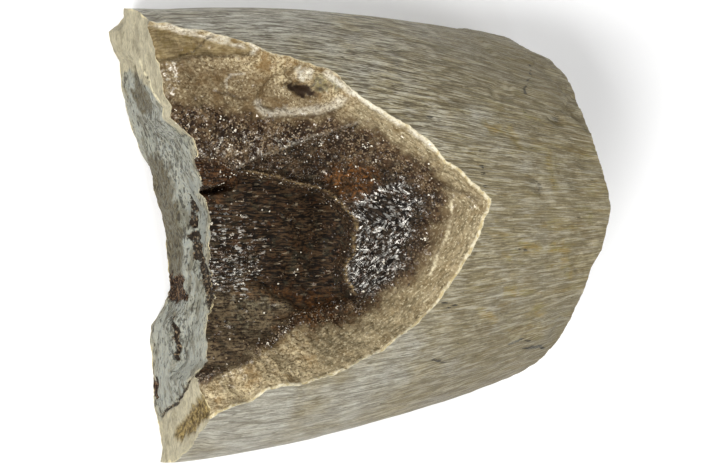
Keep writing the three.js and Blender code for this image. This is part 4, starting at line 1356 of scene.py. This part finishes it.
def crusts_over(f, colour):
    """White crust and chips and pale crystals, painted glints on the glitter's crystals, the floor's grit
    and the glassy wall, and the darkened pit, cracks and creases with their painted shade, over any
    ground.
    """
    # White crust and chips, and pale paint on the glitter's crystals that is partly painted glints.
    chalk_and_painted_glints = f.mark("chalk") * f.ease(f.grain, 0.36, 0.56, 0.35, 1.0)
    chalk_and_painted_glints = chalk_and_painted_glints.most(f.mark("glitter") * f.ease(f.own, 0.56, 0.84, 0.0, 0.66))
    # Painted glints: pale dashes in rows on the floor's grit, and pale strokes on the glassy wall.
    painted_grit_glints = f.ease(f.long_own, 0.74, 0.84) * f.ease(f.patchy, 0.46, 0.56) * f.mark("grit")
    painted_glassy_glints = f.ease(f.ring_own, 0.68, 0.85) * f.ease(f.patchy, 0.4, 0.54)
    painted_glassy_glints = painted_glassy_glints * f.ease(f.glassy, 0.3, 1.0, 0.0, 0.4)
    return f.over(
        colour,
        (f.mark("moss") * 0.55, f.mix(f.own, paint(88, 94, 90), paint(134, 128, 88))),
        (chalk_and_painted_glints, paint(214, 208, 190)),
        ((painted_grit_glints * 0.85).most(painted_glassy_glints), paint(194, 192, 184)),
        # Darker in the pit, cracks, creases, scar edge and cleft, partly the stone's own dark and partly
        # painted shade; a painted shadow under the shell lip.
        (f.mark("recess_dark_and_shade") * 0.88, paint(36, 24, 14)),
    )


def part_wet(f, colour, depth):
    """Dull bone and, over some of its crystals, a wet-looking skin."""
    lone = f.mean(f.glassy, f.mix(f.hollow, f.own, f.long_own), f.ring_own)
    lean = f.mean(f.glassy, f.mix(f.hollow, f.tilt + 0.5, f.long_tilt + 0.5), f.ring_tilt + 0.5)
    glints = f.mark("glints") + (lone - 0.5) * 0.9 + (f.patchy - 0.5) * f.off_on(f.glassy, 2.2, 3.0)
    height = lean * 1.3 + f.fine_tilt * f.off_on(f.hollow.most(f.glassy), 0.45, 0.2)
    normal = f.bump(height + f.grain * 0.1 + f.fibre * f.hollow * 0.4, depth)
    dull = f.coat(colour, 0.7, normal, 1.5, 0.12)
    bright = f.coat(colour, f.off_on(f.own, 0.06, 0.2), normal, 1.85, 0.5, (1.0, 0.95, 0.86))
    return f.between(f.ease(glints, 0.46, 0.68), dull, bright)


def marrow_break(settings):
    """The slanting break: cream rim, tan cortex, brown marrow, dark hollow and glassy lumps."""
    f = BreakFinish("marrow_break")
    share = f.ease(f.mark("marrow") + (f.patchy - 0.5) * 1.2 + (f.own - 0.5) * 0.16, 0.1, 0.9)
    colour = f.mix(share, cortex_colour(f, settings), marrow_colour(f, settings))
    return f.done(part_wet(f, crusts_over(f, colour), settings.crystal_depth / MM))


def end_finish(name, cool, warm, dark_share, lie):
    """A cross break: bone with dark pores drawn out along lie, tan towards the wall."""
    f = Finish(name)
    place, edge_gap, by_wall = f.place(), f.mark("edge_gap"), f.mark("end_tan")
    drawn = f.scaled(place, lie)
    cloud = f.cloud(place, 6.0, 4.0, 0.65, 0.3)
    patchy = f.cloud(drawn, 2.0, 4.0, 0.68, 0.4)
    fine = f.cloud(place, 0.35, 3.0, 0.65)
    hairs = f.cloud(drawn, 0.3, 3.0, 0.6)
    _, own = f.crystals(place, 0.3)
    pale = tuple(0.6 * c + 0.4 * w for c, w in zip(cool, warm))
    ground = f.mix(
        f.ease(hairs, 0.34, 0.64), tuple(0.72 * c for c in cool), tuple(0.88 * c for c in pale)
    )
    near_wall = f.ease(edge_gap, 0.3, 3.0, 0.8, 0.0) * f.ease(cloud, 0.4, 0.6, 0.1, 0.9)
    tan = f.mix(f.ease(hairs, 0.36, 0.62), tuple(0.74 * w for w in warm), warm)
    stain = f.mark("end_stain") * f.ease(hairs, 0.4, 0.58, 0.62, 0.95)
    smears = f.ease(patchy, 0.48, 0.64) * f.ease(by_wall, 0.2, 0.9, 0.6, 0.35)
    strokes = f.cloud(f.scaled(place, (1.0, 0.4, 0.35)), 0.3, 3.0, 0.65)
    olive = f.mix(f.ease(strokes, 0.38, 0.7), paint(70, 57, 32), paint(140, 122, 80))
    pores = f.ease(f.cloud(drawn, 0.42, 2.0, 0.5, 0.3) + (cloud - 0.5) * 0.5, 0.56, 0.63)
    pores = pores * f.ease(by_wall, 0.2, 0.9, dark_share, 0.3 * dark_share)
    dense = f.ease(f.cloud(drawn, 0.34, 2.0, 0.5, 0.3), 0.5, 0.57) * f.mark("end_pores")
    umber = f.mix(f.ease(own, 0.55, 1.0), paint(30, 19, 12), paint(104, 82, 60))
    crystals = f.mix(f.ease(own, 0.7, 1.0), paint(28, 19, 12), paint(112, 96, 74))
    sunk = f.ease(f.mark("fissure") + (fine - 0.5) * 0.7 + (hairs - 0.5) * 0.5, 0.22, 0.5)
    crest = f.ease(edge_gap + patchy * 2.4, 1.15, 1.5, 0.75, 0.0)
    colour = f.over(
        ground,
        (f.ease(cloud, 0.48, 0.64) * 0.45, paint(112, 112, 96)),
        (f.mark("end_shade") * 0.45, paint(90, 94, 92)),
        (near_wall.most(by_wall * 0.9), tan),
        (stain.most(smears), paint(76, 68, 50)),
        (f.mark("end_olive"), olive),
        (pores.most(dense * 0.65), paint(50, 46, 41)),
        (f.ease(f.mark("end_umber") + (fine + hairs - 1.0) * 1.4, 0.35, 0.8), umber),
        (sunk * 0.95, crystals),
        (f.mark("end_vein") * 0.8, paint(214, 204, 170)),
        (crest * f.ease(cloud, 0.4, 0.55, 0.3, 1.0), paint(200, 186, 146)),
    )
    height = fine * 0.3 + hairs * 0.4 - pores * 0.6 + patchy * 0.6
    return f.done(f.coat(colour, f.ease(fine, 0.3, 0.7, 0.5, 0.7), f.bump(height, 0.22), 1.5, 0.05))


def grain_finish():
    """Clear to smoky mineral grains in the marrow."""
    f = Finish("marrow_grain")
    place, umber = f.place(), f.mark("umber")
    own = f.channel(f.pebbles(place, 0.8), 1)
    dark = f.mix(umber, paint(58, 43, 28), paint(24, 17, 11))
    clear = f.mix(umber, paint(132, 112, 84), paint(84, 66, 46))
    colour = f.over(
        f.mix(f.ease(own, 0.2, 0.95), dark, clear),
        (f.mark("rust") * 0.8, paint(74, 50, 26)),
        (f.ease(own, 0.92, 0.97), paint(210, 202, 184)),
    )
    return f.done(f.coat(colour, f.off_on(own, 0.14, 0.34), f.bump(f.cloud(place, 0.25), 0.03), 1.6))


# ---- Marrow grains: a tree that scatters cut crystals over the rough ground ----
# A grain's length, width and height, as shares of the grain size.
GRAIN_LEAST, GRAIN_MOST = (0.45, 0.5, 0.35), (1.25, 1.1, 0.9)


def grain_share(mesh):
    """How thickly loose grains cover each corner: the marrow, less so in its hollow and glassy wall."""
    tone = {}
    for name in ("marrow", "hollow", "grit", "glassy"):
        tone[name] = np.empty(len(mesh.vertices), np.float32)
        mesh.attributes[name].data.foreach_get("value", tone[name])
    marrow = np.clip(2.2 * tone["marrow"] - 1.2, 0, 1)
    share = marrow * (1 - 0.85 * tone["hollow"]) * (1 - 0.7 * tone["glassy"])
    share += 0.3 * tone["grit"] * marrow
    share[~on_surface(mesh)[BREAK]] = 0
    return np.clip(share, 0, 1)


def grain_tree(finish):
    """Geometry nodes: crystals of many shapes, as thick on the ground as grain_share says."""
    tree = bpy.data.node_groups.new("marrow_grain_scatter", "GeometryNodeTree")
    tree.is_modifier = True
    face = tree.interface
    face.new_socket("Stone", in_out="INPUT", socket_type="NodeSocketGeometry")
    for name in ("Grains per square metre", "Grain size"):
        face.new_socket(name, in_out="INPUT", socket_type="NodeSocketFloat").min_value = 0.0
    face.new_socket("Seed", in_out="INPUT", socket_type="NodeSocketInt")
    face.new_socket("Grains", in_out="OUTPUT", socket_type="NodeSocketGeometry")
    nodes, link = tree.nodes, tree.links.new

    def node(kind, settings=None, sockets=None):
        made = nodes.new(kind)
        for key, value in (settings or {}).items():
            setattr(made, key, value)
        for key, value in (sockets or {}).items():
            if isinstance(value, bpy.types.NodeSocket):
                link(value, made.inputs[key])
            else:
                made.inputs[key].default_value = value
        return made

    given = nodes.new("NodeGroupInput").outputs
    share = node("GeometryNodeInputNamedAttribute", {"data_type": "FLOAT"}, {"Name": "grain_share"})
    thick = node("ShaderNodeMath", {"operation": "MULTIPLY"}, {0: given[1], 1: share.outputs[0]})
    points = node(
        "GeometryNodeDistributePointsOnFaces", None,
        {"Mesh": given[0], "Density": thick.outputs[0], "Seed": given[3]},
    )
    crystal = node("GeometryNodeMeshIcoSphere", None, {"Radius": 0.5, "Subdivisions": 1})

    def between(low, high, seed):
        sockets = {0: low, 1: high, "Seed": seed}
        return node("FunctionNodeRandomValue", {"data_type": "FLOAT_VECTOR"}, sockets)

    turn = between((0, 0, 0), (2 * math.pi,) * 3, 2)
    shape = between(GRAIN_LEAST, GRAIN_MOST, 3)
    size = node("ShaderNodeVectorMath", {"operation": "SCALE"}, {0: shape.outputs[0], "Scale": given[2]})
    placed = node(
        "GeometryNodeInstanceOnPoints", None,
        {"Points": points.outputs[0], "Instance": crystal.outputs[0], "Rotation": turn.outputs[0],
         "Scale": size.outputs[0]},
    )
    solid = node("GeometryNodeRealizeInstances", None, {0: placed.outputs[0]})
    dressed = node("GeometryNodeSetMaterial", None, {0: solid.outputs[0], "Material": finish})
    link(dressed.outputs[0], nodes.new("NodeGroupOutput").inputs[0])
    return tree


# ---- Settings, operators and panel ----
class BoneSettings(bpy.types.PropertyGroup):
    grain_depth: bpy.props.FloatProperty(
        name="Grain depth", description="Height of the carved crystals on the rough marrow",
        default=0.00014, min=0.0, max=0.001, subtype="DISTANCE", unit="LENGTH", precision=5,
    )
    grain_density: bpy.props.FloatProperty(
        name="Grains per square metre", description="How thickly loose grains cover the marrow",
        default=4.0e6, min=0.0,
    )
    grain_size: bpy.props.FloatProperty(
        name="Grain size", description="Usual way across a loose grain",
        default=0.0004, min=0.0, max=0.003, subtype="DISTANCE", unit="LENGTH", precision=5,
    )
    streak_depth: bpy.props.FloatProperty(
        name="Streak depth", description="How far the wall's streaks stand up",
        default=0.00015, min=0.0, max=0.001, subtype="DISTANCE", unit="LENGTH", precision=5,
    )
    crystal_depth: bpy.props.FloatProperty(
        name="Crystal relief", description="How far the finest crystals of the break stand up",
        default=0.00036, min=0.0, max=0.001, subtype="DISTANCE", unit="LENGTH", precision=5,
    )
    wall_light: bpy.props.FloatVectorProperty(
        name="Wall, light", description="Colour of the wall's paler streaks", subtype="COLOR",
        default=paint(204, 202, 189), min=0.0, max=1.0,
    )
    wall_dark: bpy.props.FloatVectorProperty(
        name="Wall, dark", description="Colour of the wall's darker streaks", subtype="COLOR",
        default=paint(114, 110, 96), min=0.0, max=1.0,
    )
    rim_cream: bpy.props.FloatVectorProperty(
        name="Rim", description="Colour of the pale line along the break's rim", subtype="COLOR",
        default=paint(216, 207, 180), min=0.0, max=1.0,
    )
    cortex_tan: bpy.props.FloatVectorProperty(
        name="Cortex", description="Lighter colour of the dense bone inside the rim", subtype="COLOR",
        default=paint(155, 141, 111), min=0.0, max=1.0,
    )
    marrow_brown: bpy.props.FloatVectorProperty(
        name="Marrow", description="Lighter colour of the granular marrow", subtype="COLOR",
        default=paint(86, 68, 47), min=0.0, max=1.0,
    )
    marrow_dark: bpy.props.FloatVectorProperty(
        name="Hollow", description="Darkest colour of the hollow's floor", subtype="COLOR",
        default=paint(15, 9, 5), min=0.0, max=1.0,
    )


class StudioSettings(bpy.types.PropertyGroup):
    floor_colour: bpy.props.FloatVectorProperty(
        name="Floor colour", description="Colour of the plain floor", subtype="COLOR",
        default=(0.95, 0.95, 0.95), min=0.0, max=1.0,
    )
    key_power: bpy.props.FloatProperty(
        name="Key light", description="Power of the main soft light", default=25.0, min=0.0,
        subtype="POWER", unit="POWER",
    )
    sky: bpy.props.FloatProperty(
        name="Room light", description="Strength of the light from the ceiling", default=0.14, min=0.0,
    )


class FOSSIL_OT_bone_stone(bpy.types.Operator):
    """Carve the bone section with its breaks, ledges and worn wall"""

    bl_idname = "fossil.bone_stone"
    bl_label = "Carve the bone section"

    def execute(self, context):
        settings = context.scene.fossil_bone

        def break_at(x, y):
            return break_height(x, y, settings)

        blocks = [
            cutting_block(
                "slanting_break", BREAK_ALONG, BREAK_ACROSS, BREAK_STEP, CLEAR_OF_STONE, BREAK,
                break_at, LYING,
            ),
            cutting_block(
                "wide_end", WIDE_ACROSS, ENDS_UP, WIDE_STEP, -CLEAR_OF_STONE, WIDE_FACE,
                wide_break_at, UPRIGHT,
            ),
            cutting_block(
                "narrow_end", NARROW_ACROSS, ENDS_UP, NARROW_STEP, CLEAR_OF_STONE, NARROW_FACE,
                narrow_break_at, UPRIGHT,
            ),
            cutting_block(
                "underside", UNDER_ALONG, UNDER_ACROSS, UNDER_STEP, -CLEAR_OF_STONE, UNDER_FACE,
                underside_at, LYING,
            ),
        ]
        mesh = carve(shaft_blank(), blocks)
        note_grounds(mesh)
        to_row_frame(mesh)
        mesh.name = "bone_stone"
        grey, tan, brown = paint(140, 144, 138), paint(160, 152, 127), paint(140, 130, 106)
        finishes = {
            WALL: weathered_wall(settings),
            BREAK: marrow_break(settings),
            WIDE_FACE: end_finish("wide_end_bone", grey, tan, 0.75, (1, 0.4, 1)),
            NARROW_FACE: end_finish("narrow_end_bone", brown, tan, 0.5, (1, 0.7, 1)),
            UNDER_FACE: end_finish("underside_bone", brown, tan, 0.5, (0.4, 1, 1)),
        }
        for surface, finish in finishes.items():
            mesh.materials[surface] = finish
        stone = bpy.data.objects.new("bone_stone", mesh)
        context.scene.collection.objects.link(stone)
        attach(stone, "root")
        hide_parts("bone_section")
        return {"FINISHED"}


class FOSSIL_OT_marrow_grains(bpy.types.Operator):
    """Scatter loose mineral grains over the marrow of the carved bone"""

    bl_idname = "fossil.marrow_grains"
    bl_label = "Scatter the marrow grains"

    def execute(self, context):
        settings = context.scene.fossil_bone
        mesh = bpy.data.objects["bone_stone"].data.copy()
        keep_number(mesh, "grain_share", grain_share(mesh))
        bed = bpy.data.objects.new("grain_bed", mesh)
        context.scene.collection.objects.link(bed)
        scatter = bed.modifiers.new("grains", "NODES")
        scatter.node_group = grain_tree(grain_finish())
        wanted = {
            "Grains per square metre": settings.grain_density, "Grain size": settings.grain_size,
            "Seed": 4,
        }
        for item in scatter.node_group.interface.items_tree:
            if item.name in wanted:
                scatter[item.identifier] = wanted[item.name]
        made = as_plain_mesh(bed)
        bpy.data.objects.remove(bed)
        if not made.polygons:
            raise RuntimeError("no marrow grains were scattered")
        made.name = "marrow_grains"
        grains = bpy.data.objects.new("marrow_grains", made)
        context.scene.collection.objects.link(grains)
        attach(grains, "root")
        return {"FINISHED"}


# ---- Studio, in metres ----
FLOOR_HALF, FLOOR_DROP = 3.0, 0.00005
# Lamps as (name, place, size, share of the key light's power).
LAMPS = [
    ("key", (-0.85, -0.6, 1.1), 0.75, 1.0), ("low", (-1.42, -0.1, 0.36), 0.35, 0.3),
    ("top", (0.1, 0.95, 1.2), 0.6, 0.38), ("side", (1.1, -0.75, 0.8), 0.8, 0.26),
]
# Small bright lamps that the crystals catch.
SPARKS = [
    (0.56, 0.0, 1.39), (-0.5, 0.75, 1.2), (-1.15, -0.65, 0.75), (-1.4, 0.35, 0.3), (0.2, -0.9, 1.2),
    (0.75, 0.6, 1.15), (-1.3, -0.3, 0.55), (-0.1, 0.25, 1.5),
]
SPARK_SIZE, SPARK_SHARE = 0.1, 0.045
LAMPS += [("spark_%d" % k, place, SPARK_SIZE, SPARK_SHARE) for k, place in enumerate(SPARKS)]
# The camera's frame is FRAME_WIDTH wide at CAMERA_DISTANCE, which lies FRAME_ABOVE its aim.
CAMERA_LEAN, CAMERA_DISTANCE, FRAME_WIDTH, FRAME_ABOVE = 22.0, 0.700, 0.1161, 0.012
AIM_ALONG, SENSOR = 0.00115, 36.0


class FOSSIL_OT_studio(bpy.types.Operator):
    """Set the floor, the lights and the camera"""

    bl_idname = "fossil.studio"
    bl_label = "Set the studio"

    def execute(self, context):
        scene, settings = context.scene, context.scene.fossil_studio
        scene.view_settings.view_transform = "Standard"
        self.floor(scene, tuple(settings.floor_colour))
        scene.world = bpy.data.worlds.new("room")
        scene.world.use_nodes = True
        self.room(scene.world.node_tree, settings.sky)
        for name, place, size, share in LAMPS:
            self.lamp(scene, name, place, size, share * settings.key_power)
        self.camera(scene)
        return {"FINISHED"}

    def floor(self, scene, colour):
        plate = bpy.data.meshes.new("floor")
        corners = [(-1, -1, 0), (1, -1, 0), (1, 1, 0), (-1, 1, 0)]
        plate.from_pydata(corners, [], [(0, 1, 2, 3)])
        plate.transform(Matrix.Translation((0, 0, -FLOOR_DROP)) @ Matrix.Scale(FLOOR_HALF, 4))
        finish = Finish("floor_card")
        place = finish.place()
        tint = finish.mix(finish.cloud(place, 300.0), colour, tuple(0.98 * c for c in colour))
        surface = finish.bump(finish.cloud(place, 3.0), 0.02)
        plate.materials.append(finish.done(finish.coat(tint, 0.9, surface)))
        floor = bpy.data.objects.new("floor", plate)
        scene.collection.objects.link(floor)

    def room(self, tree, strength):
        """Pale walls low down, a dimmer ceiling."""
        nodes, link = tree.nodes, tree.links.new
        up = nodes.new("ShaderNodeSeparateXYZ")
        link(nodes.new("ShaderNodeTexCoord").outputs["Generated"], up.inputs[0])
        fall = nodes.new("ShaderNodeMapRange")
        fall.interpolation_type = "SMOOTHSTEP"
        levels = {"From Min": 0.02, "From Max": 0.3, "To Min": 0.55, "To Max": strength}
        for socket, value in levels.items():
            fall.inputs[socket].default_value = value
        link(up.outputs["Z"], fall.inputs["Value"])
        link(fall.outputs[0], nodes["Background"].inputs["Strength"])

    def lamp(self, scene, name, place, size, power):
        """A square soft light that faces the stone."""
        light = bpy.data.lights.new(name, "AREA")
        light.size, light.energy = size, power
        lamp = bpy.data.objects.new(name, light)
        lamp.location = place
        lamp.rotation_mode = "QUATERNION"
        lamp.rotation_quaternion = (-Vector(place)).to_track_quat("-Z", "Y")
        scene.collection.objects.link(lamp)

    def camera(self, scene):
        """Looks down on the stone, leaning by CAMERA_LEAN degrees towards its wide end."""
        lean = math.radians(CAMERA_LEAN)
        right = Vector((math.cos(lean), 0, math.sin(lean)))
        back = Vector((-math.sin(lean), 0, math.cos(lean)))
        middle = Vector((DRAWING_SHIFT[0], DRAWING_SHIFT[1], WIDEST_LEVEL)) * MM
        data = bpy.data.cameras.new("camera")
        data.sensor_width, data.lens = SENSOR, SENSOR * CAMERA_DISTANCE / FRAME_WIDTH
        data.clip_start, data.clip_end = 0.05, 20.0
        camera = bpy.data.objects.new("camera", data)
        turn = Matrix((right, (0, 1, 0), back)).transposed()
        spot = middle + right * AIM_ALONG + back * (CAMERA_DISTANCE + FRAME_ABOVE)
        camera.matrix_world = Matrix.Translation(spot) @ turn.to_4x4()
        scene.collection.objects.link(camera)
        scene.camera = camera


class FOSSIL_PT_bone(bpy.types.Panel):
    """Sizes and colours, and a button for each piece"""

    bl_idname = "FOSSIL_PT_bone"
    bl_label = "Petrified bone section"
    bl_space_type = "VIEW_3D"
    bl_region_type = "UI"
    bl_category = "Bone"

    def draw(self, context):
        for settings in (context.scene.fossil_bone, context.scene.fossil_studio):
            for name in settings.__annotations__:
                self.layout.prop(settings, name)
        for operator in (FOSSIL_OT_bone_stone, FOSSIL_OT_marrow_grains, FOSSIL_OT_studio):
            self.layout.operator(operator.bl_idname)


CLASSES = (
    BoneSettings, StudioSettings, FOSSIL_OT_bone_stone, FOSSIL_OT_marrow_grains, FOSSIL_OT_studio,
    FOSSIL_PT_bone,
)


def register():
    for item in CLASSES:
        bpy.utils.register_class(item)
    bpy.types.Scene.fossil_bone = bpy.props.PointerProperty(type=BoneSettings)
    bpy.types.Scene.fossil_studio = bpy.props.PointerProperty(type=StudioSettings)


def unregister():
    del bpy.types.Scene.fossil_studio
    del bpy.types.Scene.fossil_bone
    for item in reversed(CLASSES):
        bpy.utils.unregister_class(item)


def main():
    register()
    bpy.ops.fossil.bone_stone()
    bpy.ops.fossil.marrow_grains()
    bpy.ops.fossil.studio()


if __name__ == "__main__":
    main()
